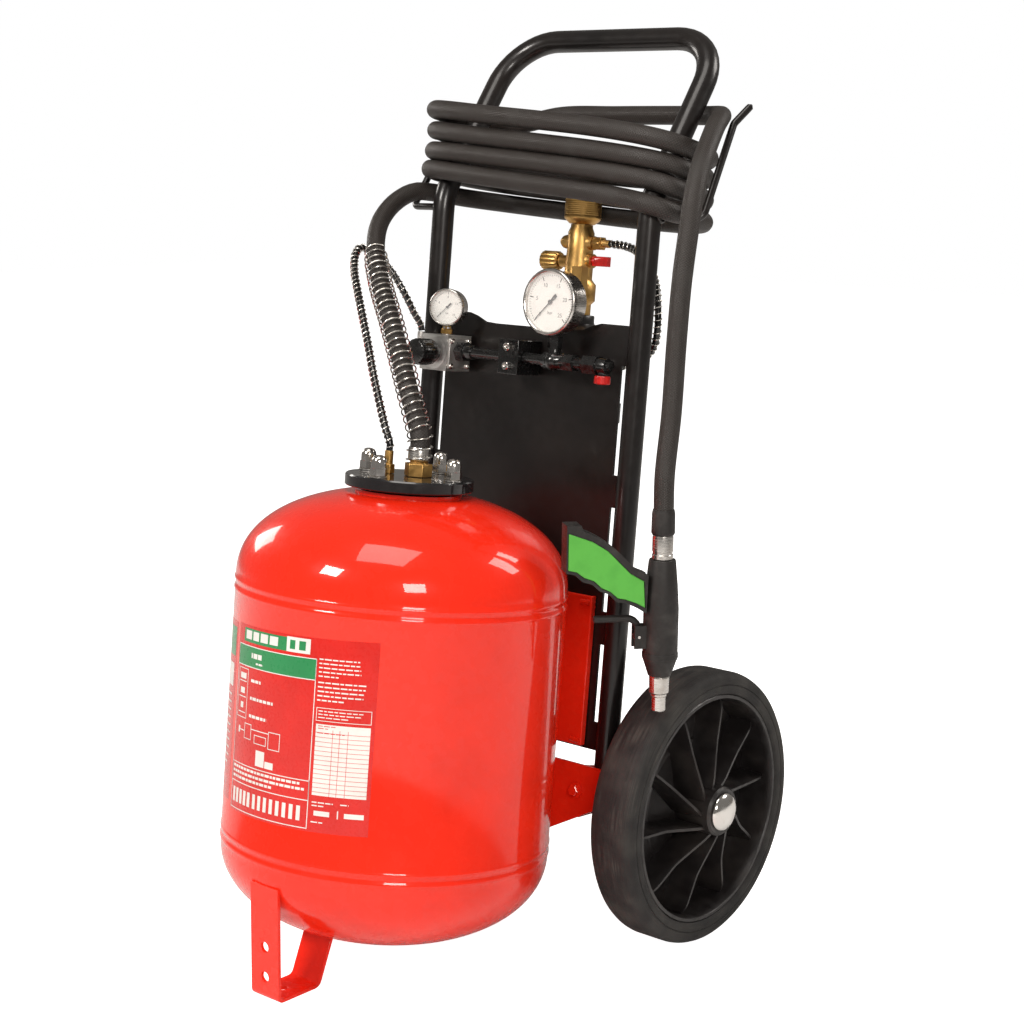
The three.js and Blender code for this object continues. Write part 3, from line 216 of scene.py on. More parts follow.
def tube(name, line, radius, sides=24, bore=0.0):
    """A round bar, or a pipe with a bore, along a line, closed at both ends.

    point(u, v) = line(u) + radius(u) (cos v side(u) + sin v up(u)).
    """
    side, up = carried_frame(line)
    angle = np.arange(sides) * 2 * np.pi / sides
    circle = side[:, None, :] * np.cos(angle)[None, :, None] + up[:, None, :] * np.sin(angle)[None, :, None]
    radii = np.broadcast_to(radius, len(line))[:, None, None]
    outer = line[:, None, :] + radii * circle
    uv = (length_of(line) / 1000, 2 * np.pi * float(np.max(radii)) / 1000)
    if bore:
        inner = line[:, None, :] + bore * circle
        return surface(name, RIG(np.concatenate([outer, inner[::-1]])), wrap_u=True, uv_size=uv, sharp=TUBE_SHARP)
    ends = [np.repeat(line[i][None, None, :], sides, 1) for i in (0, -1)]
    return surface(name, RIG(np.concatenate([ends[0], outer, ends[1]])), uv_size=uv, sharp=TUBE_SHARP)


def helix(line, radius, pitch, per_turn):
    """A line wound round another: line(s) + radius (cos a side + sin a up) with a = 2 pi s / pitch."""
    fine = evenly(line, pitch / per_turn)
    side, up = carried_frame(fine)
    a = 2 * np.pi * np.arange(len(fine)) / per_turn
    return fine + radius * (np.cos(a)[:, None] * side + np.sin(a)[:, None] * up)


def bent_line(corners, bend, arc_steps=14):
    """Straight runs between corners with an arc of the same radius at each corner."""
    corners = np.asarray(corners, float)
    parts = [corners[:1]]
    for before, here, after in zip(corners[:-2], corners[1:-1], corners[2:]):
        a = (before - here) / np.linalg.norm(before - here)
        b = (after - here) / np.linalg.norm(after - here)
        half = np.arccos(np.clip(a.dot(b), -1, 1)) / 2
        centre = here + (a + b) / np.linalg.norm(a + b) * bend / np.sin(half)
        start, end = here + a * bend / np.tan(half) - centre, here + b * bend / np.tan(half) - centre
        sweep = np.arccos(np.clip(start.dot(end) / bend**2, -1, 1))
        t = np.linspace(0, 1, arc_steps + 1)[:, None]
        parts.append(centre + (np.sin((1 - t) * sweep) * start + np.sin(t * sweep) * end) / np.sin(sweep))
    parts.append(corners[-1:])
    return np.vstack(parts)


def block(name, size, centre, place=RIG, bevel=0.0):
    """A rectangular block: eight corners at centre plus or minus half its size, with rounded edges."""
    signs = np.array([[-1, -1], [1, -1], [1, 1], [-1, 1]], float)
    ring = signs * np.array(size[:2]) / 2
    zs = np.array([-size[2] / 2, -size[2] / 2, size[2] / 2, size[2] / 2])
    scale = np.array([0.0, 1.0, 1.0, 0.0])
    points = np.stack([np.outer(scale, ring[:, 0]), np.outer(scale, ring[:, 1]), np.outer(zs, np.ones(4))], -1)
    piece = surface(name, place(points + np.asarray(centre, float)), sharp=25)
    if bevel:
        rounded(piece, bevel)
    return piece


def rounded(piece, width, segments=3, angle=40.0):
    """Rounds the piece's sharp edges."""
    bevel = piece.modifiers.new("edge_rounding", "BEVEL")
    bevel.width = width / 1000
    bevel.segments = segments
    bevel.limit_method = "ANGLE"
    bevel.angle_limit = np.radians(angle)
    bevel.use_clamp_overlap = True
    return piece


def refined(node, edge=0.0, segments=3, sharp=35.0, angle=40.0):
    """The CAD node's own shape with merged points, smooth curves and rounded edges."""
    mesh = frame["nodes"][node].data.copy()
    piece = finished(node + "_finished", mesh, sharp, flat=True)
    mesh.materials.clear()
    if edge:
        rounded(piece, edge, segments, angle)
    return adopt(piece, node)


def adopt(piece, *nodes, finish=None):
    """The piece stands for these CAD nodes: it rides on their body and takes their finish."""
    dress(piece, finish or SLOT_OF[nodes[0]], BODY_OF[nodes[0]])
    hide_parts(*nodes)
    return piece


def dress(piece, slot, body="trolley", finish=None):
    """Gives a piece its finish and the body that it rides on."""
    piece.data.materials.clear()
    piece.data.materials.append(FINISH[finish or slot])
    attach(piece, body)
    return piece


# ------------------------------------------------------------------ finishes
class Finish:
    """Builds one node material: base colour, roughness and relief, each varied by a pattern."""

    def __init__(self, name, base, rough, metal=0.0, coat=0.0, coat_rough=0.05, specular=0.5):
        self.material = bpy.data.materials.new(name)
        self.material.use_nodes = True
        self.tree = self.material.node_tree
        self.nodes = self.tree.nodes
        self.shader = self.nodes["Principled BSDF"]
        self.set("Base Color", (*base, 1.0))
        self.set("Roughness", rough)
        self.set("Metallic", metal)
        self.set("Coat Weight", coat)
        self.set("Coat Roughness", coat_rough)
        self.set("Specular IOR Level", specular)
        self.base = base
        self.relief = None
        FINISH[name] = self.material

    def set(self, socket, value):
        self.shader.inputs[socket].default_value = value

    def link(self, a, b):
        self.tree.links.new(a, b)

    def where(self, stretch=(1, 1, 1), turn=(0, 0, 0), uv=False):
        source = self.nodes.new("ShaderNodeTexCoord")
        mapping = self.nodes.new("ShaderNodeMapping")
        mapping.inputs["Scale"].default_value = stretch
        mapping.inputs["Rotation"].default_value = turn
        self.link(source.outputs["UV" if uv else "Object"], mapping.inputs["Vector"])
        return mapping.outputs["Vector"]

    def noise(self, scale, detail=4.0, low=0.35, high=0.65, **kw):
        """Noise stretched to 0..1 between low and high."""
        node = self.nodes.new("ShaderNodeTexNoise")
        node.inputs["Scale"].default_value = scale
        node.inputs["Detail"].default_value = detail
        self.link(self.where(**kw), node.inputs["Vector"])
        return self.spread(node.outputs["Fac"], low, high, 0.0, 1.0)

    def wave(self, period, turn=(0, 0, 0)):
        """Even bands across X, `period` metres apart."""
        node = self.nodes.new("ShaderNodeTexWave")
        node.inputs["Scale"].default_value = 0.31416 / period
        self.link(self.where(turn=turn, uv=True), node.inputs["Vector"])
        return node.outputs["Fac"]

    def spread(self, value, low, high, to_low, to_high):
        node = self.nodes.new("ShaderNodeMapRange")
        for key, number in zip(("From Min", "From Max", "To Min", "To Max"), (low, high, to_low, to_high)):
            node.inputs[key].default_value = number
        self.link(value, node.inputs["Value"])
        return node.outputs["Result"]

    def together(self, a, b, operation="MULTIPLY"):
        node = self.nodes.new("ShaderNodeMath")
        node.operation = operation
        self.link(a, node.inputs[0])
        self.link(b, node.inputs[1])
        return node.outputs["Value"]

    def tint(self, colour, factor):
        """Mixes another colour over the base where the factor is high."""
        node = self.nodes.new("ShaderNodeMix")
        node.data_type = "RGBA"
        node.inputs[6].default_value = (*self.base, 1.0)
        node.inputs[7].default_value = (*colour, 1.0)
        self.link(factor, node.inputs["Factor"])
        incoming = self.shader.inputs["Base Color"]
        if incoming.is_linked:
            self.link(incoming.links[0].from_socket, node.inputs[6])
        self.link(node.outputs[2], incoming)
        return self

    def roughen(self, factor, low, high):
        self.link(self.spread(factor, 0.0, 1.0, low, high), self.shader.inputs["Roughness"])
        return self

    def raise_by(self, factor, height, strength=1.0):
        """Adds relief of that height, in metres."""
        node = self.nodes.new("ShaderNodeBump")
        node.inputs["Distance"].default_value = height
        node.inputs["Strength"].default_value = strength
        self.link(factor, node.inputs["Height"])
        if self.relief is not None:
            self.link(self.relief, node.inputs["Normal"])
        self.relief = node.outputs["Normal"]
        self.link(self.relief, self.shader.inputs["Normal"])
        return self


# Name, colour, roughness, other values, tint (colour, scale, low, high), grain in the roughness (scale, low,
# high) and relief (scale, detail, height, strength).
PLAIN_FINISHES = (
    ("lid_black", (0.012, 0.012, 0.013), 0.16, {"coat": 0.5}, None, (80, 0.1, 0.26), (500, 4, 0.00003, 0.3)),
    ("chrome", (0.78, 0.76, 0.73), 0.12, {"metal": 1.0},
     ((0.6, 0.52, 0.42), 70, 0.55, 0.85), (120, 0.06, 0.2), None),
    ("cast_aluminium", (0.72, 0.71, 0.69), 0.42, {"metal": 0.9},
     ((0.55, 0.54, 0.52), 90, 0.35, 0.65), (200, 0.34, 0.52), (900, 4, 0.00006, 0.6)),
    ("brass", (0.6, 0.36, 0.12), 0.36, {"metal": 1.0},
     ((0.42, 0.24, 0.07), 55, 0.45, 0.8), (150, 0.3, 0.46), (600, 4, 0.00004, 0.5)),
    ("rim_plastic", (0.012, 0.01, 0.01), 0.34, {},
     ((0.045, 0.038, 0.034), 22, 0.5, 0.85), (90, 0.28, 0.5), (900, 4, 0.00006, 0.6)),
    ("fitting_black", (0.006, 0.006, 0.006), 0.2, {"coat": 0.4}, None, (120, 0.14, 0.34), (700, 4, 0.00003, 0.4)),
    ("red_plastic", (0.62, 0.012, 0.01), 0.3, {"coat": 0.3},
     ((0.42, 0.01, 0.008), 120, 0.35, 0.65), None, (900, 4, 0.00003, 0.4)),
    ("gun_black", (0.014, 0.012, 0.011), 0.48, {"specular": 0.45},
     ((0.05, 0.045, 0.042), 40, 0.5, 0.8), (200, 0.42, 0.6), (1400, 1, 0.00009, 0.6)),
    ("gun_green", (0.11, 0.47, 0.065), 0.45, {"specular": 0.35},
     ((0.09, 0.41, 0.055), 60, 0.45, 0.75), (300, 0.38, 0.54), (1500, 1, 0.00006, 0.6)),
    ("needle_black", (0.01, 0.01, 0.01), 0.5, {}, None, (500, 0.4, 0.6), None),
    ("guard_wire", (0.72, 0.70, 0.66), 0.25, {"metal": 1.0},
     ((0.4, 0.36, 0.3), 90, 0.5, 0.8), (200, 0.18, 0.4), None),
)


def make_plain_finish(name, colour, rough, values, tint, grain, relief):
    finish = Finish(name, colour, rough, **values)
    if tint:
        finish.tint(tint[0], finish.noise(tint[1], low=tint[2], high=tint[3]))
    if grain:
        finish.roughen(finish.noise(grain[0]), *grain[1:])
    if relief:
        finish.raise_by(finish.noise(relief[0], detail=relief[1]), *relief[2:])


def make_finishes(colours):
    make_plain_finish("frame_paint", tuple(colours.frame), 0.26, {"specular": 0.4, "coat": 0.25, "coat_rough": 0.1},
                      ((0.016, 0.012, 0.01), 9, 0.4, 0.9), (90, 0.28, 0.36), (700, 2, 0.00003, 0.3))
    for row in PLAIN_FINISHES:
        make_plain_finish(*row)

    red = tuple(colours.paint)
    paint = Finish("red_paint", red, 0.3, coat=0.85, coat_rough=0.03, specular=0.08)
    paint.tint(tuple(0.8 * c for c in red), paint.noise(9.0, low=0.45, high=0.8))
    paint.roughen(paint.noise(60.0, low=0.3, high=0.7), 0.2, 0.34)
    paint.raise_by(paint.noise(26.0, detail=2.0), 0.00035, 0.35).raise_by(paint.noise(300.0), 0.00004, 0.3)

    steel = Finish("steel", (0.66, 0.64, 0.61), 0.24, metal=1.0)
    steel.tint((0.42, 0.38, 0.34), steel.noise(50.0, low=0.5, high=0.8))
    steel.roughen(steel.noise(60.0, stretch=(1, 1, 30)), 0.16, 0.36)
    steel.raise_by(steel.noise(60.0, stretch=(1, 1, 40)), 0.00002, 0.5)

    tyre = Finish("tyre_rubber", (0.012, 0.011, 0.011), 0.72, specular=0.4)
    scuffs = tyre.noise(3.0, detail=8.0, low=0.42, high=0.72, stretch=(60, 6, 1), uv=True)
    dust = tyre.noise(30.0, detail=6.0, low=0.4, high=0.75)
    tyre.tint((0.1, 0.092, 0.082), tyre.together(scuffs, dust))
    tyre.tint((0.06, 0.056, 0.05), tyre.noise(12.0, low=0.5, high=0.8))
    tyre.roughen(scuffs, 0.62, 0.9)
    tyre.raise_by(scuffs, 0.0003, 0.4).raise_by(tyre.noise(500.0), 0.00012, 0.6)

    hose = tuple(colours.hose)
    rubber = Finish("hose_rubber", hose, 0.5, specular=0.4)
    weave = rubber.together(rubber.wave(0.0021, turn=(0, 0, 0.62)), rubber.wave(0.0021, turn=(0, 0, -0.62)), "ADD")
    rubber.tint((0.07, 0.06, 0.052), rubber.spread(weave, 1.1, 1.9, 0.0, 0.6))
    rubber.tint((0.04, 0.037, 0.034), rubber.noise(20.0, low=0.5, high=0.8))
    rubber.roughen(rubber.noise(40.0), 0.4, 0.58)
    rubber.raise_by(weave, 0.00022, 0.7).raise_by(rubber.noise(300.0), 0.00005, 0.5)

    glass = Finish("gauge_glass", (1.0, 1.0, 1.0), 0.03)
    glass.set("Alpha", 0.12)
    glass.roughen(glass.noise(40.0), 0.01, 0.06)

    for name, colour, rough in (
        ("print_red", (0.70, 0.022, 0.016), 0.3),
        ("print_green", (0.03, 0.27, 0.09), 0.32),
        ("print_white", (0.86, 0.84, 0.8), 0.35),
        ("dial_white", (0.88, 0.87, 0.83), 0.5),
    ):
        ink = Finish(name, colour, rough, coat=0.5, coat_rough=0.06, specular=0.15)
        ink.tint(tuple(0.86 * c for c in colour), ink.noise(35.0, low=0.4, high=0.8))
        ink.roughen(ink.noise(250.0), rough - 0.08, rough + 0.08)


# ------------------------------------------------------------------ trolley
HANDLE_LEAN = np.radians(30.6)
UPRIGHT_X = 147.0
FRAME_Y = -66.0
HANDLE_TOP = (FRAME_Y + 215 * np.sin(HANDLE_LEAN), 645 + 215 * np.cos(HANDLE_LEAN))


def make_frame():
    side = [(FRAME_Y, -16), (FRAME_Y, 645), HANDLE_TOP]
    corners = [(-UPRIGHT_X, y, z) for y, z in side] + [(UPRIGHT_X, y, z) for y, z in side[::-1]]
    adopt(tube("frame_tube_finished", evenly(bent_line(corners, 62), 9), 12.5, sides=32, bore=10.5), "frame_tube")
    for side_name, s in (("left", -1), ("right", 1)):
        top = 193 if s > 0 else 206
        rod = [(s * 159.8, -63, 630), (s * 206, -53, 630), (s * top, 8, 734), (s * (top + 8), 27, 756)]
        line = evenly(bent_line(rod, 9, 8), 3)
        reach = np.minimum(np.arange(len(line)), np.arange(len(line))[::-1]) * 3.0
        radius = 4 * np.sqrt(np.clip(reach / 4, 0.03, 1) * (2 - np.clip(reach / 4, 0.03, 1)))
        adopt(tube(f"hose_hook_{side_name}_finished", line, radius, sides=16), f"hose_hook_{side_name}")
        ring = lathe(f"hook_weld_{side_name}", bead_profile(4.2, 2.0), at=(s * 160.3, -63, 630), axis="X", sides=24)
        dress(ring, "frame_paint")
    refined("back_plate", edge=0.6, segments=2)
    for node in ("cylinder_strap_lower", "cylinder_strap_upper"):
        refined(node, edge=0.5, segments=2)


def bead_profile(radius, bead):
    """A round bead of weld about a rod: a circle of radius `bead` carried round at the rod's surface."""
    a = np.linspace(0, 2 * np.pi, 13)
    return [(radius + bead * 0.6 + bead * np.cos(t), bead * np.sin(t)) for t in a]


def make_brackets():
    refined("mounting_bracket", edge=1.6)
    for side in ("left", "right"):
        refined(f"axle_bracket_{side}", edge=0.8, segments=2)
    refined("front_foot", edge=0.7, segments=2)
    refined("axle")
    rng = np.random.default_rng(7)
    for name, s in (("left", -1), ("right", 1)):
        # Lumps of weld down each side of the tray.
        for i, z in enumerate((59, 212)):
            line = np.array([(s * (104 + 4 * k), -76.2, z + rng.uniform(-1.2, 1.2)) for k in range(4)])
            dress(tube(f"tray_weld_{name}_{i}", route(line, 2), 3.0, sides=12), "red_paint")
        bolt = [(0, 0), (9.5, 0), (9.5, 1.6), (6.6, 1.7), (6.6, 6.2), (5.6, 7.2), (0, 7.2)]
        head = lathe(f"bracket_bolt_{name}", bolt, at=(s * 122, -83.1, 6), axis="FRONT", sides=6, sharp=25)
        dress(head, "red_paint")


# ------------------------------------------------------------------ wheels
WHEEL_INNER, WHEEL_OUTER = 191.0, 246.0
RIB_COUNT = 10


def make_wheels():
    for side, s in (("left", -1), ("right", 1)):
        make_wheel(side, s)


def wheel_place(s):
    """Wheel points about X on the right, mirrored by half a turn on the left, with the lean taken out."""

    def place(points):
        x, y, z = np.moveaxis(np.asarray(points, float), -1, 0)
        return PARKED(np.stack([x, y, z + WHEEL_R], -1)) if s > 0 else PARKED(np.stack([-x, -y, z + WHEEL_R], -1))

    return place


def make_wheel(side, s):
    place = wheel_place(s)
    inner, outer = WHEEL_INNER, WHEEL_OUTER
    tyre = [(126, inner + 2), (132, inner), (141, inner), (144.6, inner + 1.2), (147.6, inner + 4)]
    tyre += [(149.2, inner + 7.5), (149.9, inner + 11), (149.9, outer - 11), (149.2, outer - 7.5)]
    tyre += [(147.6, outer - 4), (144.6, outer - 1.2), (141, outer), (137, outer - 0.2), (136, outer - 1.2)]
    tyre += [(135, outer - 0.2), (130, outer - 0.2), (128, outer - 0.8), (126, outer - 2.5), (126, inner + 2)]
    adopt(lathe(f"tyre_{side}_finished", tyre, axis="X", place=place, sides=144), f"tyre_{side}")
    hub = outer + 14
    rim = [(13.4, inner + 4), (25, inner + 4), (25, inner + 12), (70, inner + 10), (96, inner + 7), (116, inner + 3)]
    rim += [(125.6, inner + 3), (125.6, outer - 3), (124.6, outer - 2), (121.4, outer - 2), (120.6, outer - 3)]
    rim += [(119.6, outer - 12), (117.6, inner + 13), (98, inner + 14), (96, inner + 15.5), (72, inner + 18)]
    rim += [(70, inner + 20), (30, inner + 22), (27.4, inner + 24), (27, hub - 2.5), (25, hub), (13.4, hub)]
    rim += [(13.4, inner + 4)]
    adopt(lathe(f"rim_{side}_finished", rim, axis="X", place=place, sides=120, sharp=38), f"rim_{side}")
    dress(rim_ribs(side, place), "rim_plastic", f"wheel_{side}")
    cap = [(0, hub - 2), (12, hub - 2), (12, hub + 0.4), (20.4, hub + 0.4), (21, hub + 1.2), (20.6, hub + 2.6)]
    cap += [(18.6, hub + 4.6), (15, hub + 6.6), (10, hub + 8.3), (5, hub + 9.2), (0, hub + 9.5)]
    adopt(lathe(f"hub_cap_{side}_finished", cap, axis="X", place=place, sides=64), f"hub_cap_{side}")
    refined(f"wheel_bush_{side}")


def rim_ribs(side, place):
    """Ten ribs, each of two straight runs: out from the hub to a kink at radius 75, then to the rim. Its
    top edge follows the hub's height, falls to the kink and ends in a step at the rim.

    point(u, v) = path(u) + half width(v) normal(u), at a height that rises to the top edge and back.
    """
    hub_at, kink_at = np.radians(33), np.radians(2.9)
    start = 26 * np.array([np.cos(hub_at), np.sin(hub_at)])
    kink = 75 * np.array([np.cos(kink_at), np.sin(kink_at)])
    end = np.array([118.5, 0.0])
    t = np.linspace(0, 1, 9)[:, None]
    path = np.vstack([start + (kink - start) * t, kink + (end - kink) * t[1:]])
    path[8] = path[[7, 8, 9]].mean(0)
    radii = np.linalg.norm(path, axis=1)
    tangent = np.gradient(path, axis=0)
    tangent /= np.linalg.norm(tangent, axis=1, keepdims=True)
    normal = np.stack([-tangent[:, 1], tangent[:, 0]], -1)
    top = WHEEL_OUTER + np.interp(radii, [26, 34, 60, 75, 100, 112, 118], [5, 4, -3, -6.5, -9, -10.5, -15])
    width = np.interp(radii, [26, 118], [2.0, 1.6])
    across = np.array([-1.9, -1.15, -0.8, 0.8, 1.15, 1.9])
    height = np.array([0.0, 0.9, 1.0, 1.0, 0.9, 0.0])
    base = WHEEL_INNER + 9.0
    off = np.outer(width, across)
    z = base + (top[:, None] - base) * height[None, :]
    rib = np.concatenate([path[:, None, :] + off[:, :, None] * normal[:, None, :], z[:, :, None]], 2)
    ends = [np.repeat(rib[i].mean(0)[None, None, :], len(across), 1) for i in (0, -1)]
    rib = np.concatenate([ends[0], rib, ends[1]])
    pieces = []
    for k in range(RIB_COUNT):
        a = np.radians(165) + 2 * np.pi * k / RIB_COUNT
        c, s = np.cos(a), np.sin(a)
        turned = np.stack([rib[..., 0] * c - rib[..., 1] * s, rib[..., 0] * s + rib[..., 1] * c, rib[..., 2]], -1)
        pieces.append(surface(f"rib_{side}_{k}", place(turn_axis(turned, "X")), sharp=50))
    return joined(f"rim_ribs_{side}", pieces)


def joined(name, pieces):
    """One object with the meshes of all the pieces."""
    bm = bmesh.new()
    for piece in pieces:
        bm.from_mesh(piece.data)
    mesh = bpy.data.meshes.new(name)
    bm.to_mesh(mesh)
    bm.free()
    for piece in pieces:
        bpy.data.objects.remove(piece)
    result = bpy.data.objects.new(name, mesh)
    bpy.context.scene.collection.objects.link(result)
    return result


# ------------------------------------------------------------------ tank
def dome(radius, depth, sign, start, steps, end=0.0, power=2.2):
    """Squared ellipse: r = radius cos(a)^(2/power), z = start + sign depth sin(a)^(2/power)."""
    a = np.linspace(0, np.pi / 2, steps + 1)
    r = radius * np.clip(np.cos(a), 0, 1) ** (2 / power)
    z = start + sign * depth * np.sin(a) ** (2 / power)
    return [(p, q) for p, q in zip(r, z) if p > end]


def seam(z, radius):
    """Two raised lips with a sunk bead of weld between them."""
    rise = np.array([0, 0.5, 0.9, 0.9, 0.4, -0.3, -0.6, -0.3, 0.4, 0.9, 0.9, 0.5, 0])
    along = np.array([-8, -7, -6, -4.6, -3, -1.6, 0, 1.6, 3, 4.6, 6, 7, 8])
    return [(radius + r, z + h) for r, h in zip(rise, along)]


def make_tank():
    refined("dip_tube")
    low = dome(TANK_R, 97, -1, -50, 40)[::-1]
    high = dome(TANK_R, 98, 1, 230, 40, 62)
    profile = [(0, -147)] + low[1:-1] + seam(-42, TANK_R) + seam(222, TANK_R) + high[1:]
    profile += [(56, 322), (56, 326), (47, 326), (47, 312), (0, 312)]
    adopt(lathe("tank_shell_finished", profile, at=(0, TANK_Y, 0), sides=160), "tank_shell")
    lid = [(0, 329), (66.5, 329), (67.5, 330), (67.5, 340), (66.2, 341.5), (24, 341.5), (0, 341.5)]
    adopt(lathe("tank_lid_finished", lid, at=(0, TANK_Y, 0), sides=96), "tank_lid")
    refined("lid_gasket")
    washer = [(4.4, 341.9), (9.4, 341.9), (9.4, 343.4), (4.4, 343.4), (4.4, 341.9)]
    nut = [(0, 343.5), (8.6, 343.5), (9.4, 344.2), (9.4, 351.2), (8.8, 352), (0, 352)]
    crown = [(0, 351.8), (8.0, 351.8), (8.0, 358), (7.4, 361.2), (5.8, 363.6), (3.2, 365), (0, 365.4)]
    for i in range(4):
        a = np.radians(7 + 90 * i)
        at = (STUD_CIRCLE_R * np.cos(a), TANK_Y + STUD_CIRCLE_R * np.sin(a), 0)
        parts = [lathe("nut", nut, at=at, sides=6, sharp=25), lathe("crown", crown, at=at, sides=40)]
        adopt(joined(f"lid_nut_{i + 1}_finished", parts), f"lid_nut_{i + 1}")
        dress(lathe(f"lid_washer_{i + 1}", washer, at=at, sides=32), "steel")
    for node, edge in (("hose_outlet_nut", 0.6), ("hose_ferrule_tank", 0.6), ("gas_inlet_fitting", 0.4)):
        refined(node, edge=edge, segments=2)


def wrapped(patches, lift):
    """Patches of print on the tank: each runs between two angles (from the front, in degrees) and two
    heights, and leans with the label.

    point(angle, height) = (R sin a, -R cos a, h + 0.11 (a + 24)) with R the tank's radius plus `lift`.
    """
    grids, faces, start = [], [], 0
    radius = TANK_R + lift
    for a0, a1, h0, h1 in patches:
        columns = max(2, int(np.ceil(abs(a1 - a0) / 2.0)) + 1)
        a = np.linspace(a0, a1, columns)
        rad = np.radians(a)
        ring = np.stack([radius * np.sin(rad), TANK_Y - radius * np.cos(rad), 0.11 * (a + 24)], -1)
        grids.append(np.concatenate([ring + (0, 0, h0), ring + (0, 0, h1)]))
        k = start + np.arange(columns - 1)
        faces.append(np.stack([k, k + 1, k + 1 + columns, k + columns], -1))
        start += 2 * columns
    return np.concatenate(grids), np.concatenate(faces)


def printed(name, patches, lift, finish):
    """The patches as one thin film of ink on the tank's paint."""
    points, faces = wrapped(patches, lift)
    mesh = bpy.data.meshes.new(name)
    mesh.from_pydata(RIG(points).tolist(), [], faces.tolist())
    piece = finished(name, mesh, outward=False, merge=1e-7)
    return dress(thin(piece, 0.00008, -1), "red_paint", finish=finish)


def words(rng, a0, a1, top, rows, gap, thick, fill=0.9):
    """Rows of short dashes that stand for lines of print."""
    out = []
    for row in range(rows):
        a = a0
        end = a0 + (a1 - a0) * (fill if row < rows - 1 else rng.uniform(0.35, 0.7)) * rng.uniform(0.92, 1.0)
        h = top - row * gap
        while a < end:
            length = rng.uniform(0.9, 2.6)
            out.append((a, min(a + length, end), h - thick, h))
            a += length + 0.42
    return out


def outline(a0, a1, h0, h1, t=0.9):
    """Four strips round a rectangle; the upright ones are as wide as the flat ones are high."""
    w = np.degrees(t / TANK_R)
    return [(a0, a1, h0, h0 + t), (a0, a1, h1 - t, h1), (a0, a0 + w, h0, h1), (a1 - w, a1, h0, h1)]


def make_label():
    rng = np.random.default_rng(3)
    printed("label_panel", [(-24.5, 37.2, -6, 187.5)], 0.12, "print_red")
    printed("label_side_panel", [(-39, -27, 0, 186)], 0.12, "print_red")
    green = [(-20, 4.4, 170.5, 184.5), (-23.5, 16, 146, 166.5), (-38, -28.5, 150, 180)]
    printed("label_green", green, 0.22, "print_green")
    white = [(4.0, 13.6, 170.5, 185.5)]
    white += outline(-23.8, 16.3, -3.6, 167.2) + outline(-23.8, 16.3, 24.5, 45)
    white += outline(-22.6, -15.4, 92, 143, 0.7) + outline(17.2, 36, 106, 119.5, 0.6)
    white += outline(-23.8, 16.3, 145.4, 167.2)
    white += [(17.4, 35.9, 31.5, 103), (-8, -3.4, 48, 64), (-3.0, 1.0, 48, 55)]
    white += [(-37, -29.5, 118, 142)]
    white += [(-18.5, -14.5, 173.5, 182.5), (-13.5, -10, 173.5, 182.5), (-9, -5, 173.5, 182.5), (-4, 0, 173.5, 182.5)]
    for h in (132, 114, 96):
        white += words(rng, -13.4, 13 if h == 114 else 3, h + 2, 1, 4, 3.0, 1.0)
    white += words(rng, 17.2, 33.5, 168, 5, 4.2, 1.3) + words(rng, 17.2, 35.8, 145, 5, 4.4, 1.4)
    white += words(rng, 18.0, 35.2, 116.5, 3, 3.2, 1.0) + words(rng, -22.8, 15.6, 42, 3, 5.2, 2.6, 0.98)
    white += words(rng, 17.6, 26, 25, 2, 3.4, 1.2) + words(rng, 27.5, 36, 25, 1, 3.4, 1.2)
    white += [(18.5, 24, 11, 16), (26.6, 27.0, 10, 18), (29, 35.5, 11, 16)]
    white += words(rng, 17.6, 25.5, 5, 1, 3, 1.2) + words(rng, -37.5, -29.5, 110, 10, 8, 2.0)
    # A plain mark of bars in the lowest box, and an outline drawing of a hand cart.
    white += [(-22 + 2.6 * k, -20.4 + 2.6 * k, 3.5, 18.5) for k in range(5)]
    white += [(-8.4 + 2.9 * k, -6.9 + 2.9 * k, 3.5, 18.5) for k in range(8)]
    white += outline(-16, -11.5, 72, 88, 0.8) + outline(-9.5, -3, 70, 79, 0.8) + outline(-2, 3.5, 68, 86, 0.8)
    white += [(-11.5, -2, 83, 84), (-19.5, -16, 79, 80), (-20.5, -19.3, 76, 83)]
    white += [(-21.6, -16.4, 97 + 16 * k, 98 + 16 * k) for k in range(3)]
    white += [(-20 - 0.6 * k, -18 + 0.6 * k, 102 + 15 * k, 108 + 15 * k) for k in range(3)]
    printed("label_white", white, 0.34, "print_white")
    lines = [(17.4, 35.9, 34.6 + 4.6 * k, 35.0 + 4.6 * k) for k in range(14)]
    lines += [(a, a + 0.13, 31.5, 98) for a in (23.4, 25.8, 28.6)]
    lines += words(rng, 18.2, 25.4, 101.5, 2, 2.4, 0.7) + words(rng, 18, 35, 94.5, 1, 2.2, 0.7)
    printed("label_rules", lines, 0.46, "print_red")
    band = words(rng, -14, 2, 160.5, 1, 5, 5.2, 1.0) + words(rng, -11, -1, 151.5, 1, 3, 2.0, 1.0)
    printed("label_band_words", band, 0.34, "print_white")
    printed("label_header_bars", [(5.4, 7.6, 173.5, 182.5), (9.2, 11.8, 173.5, 182.5)], 0.46, "print_green")


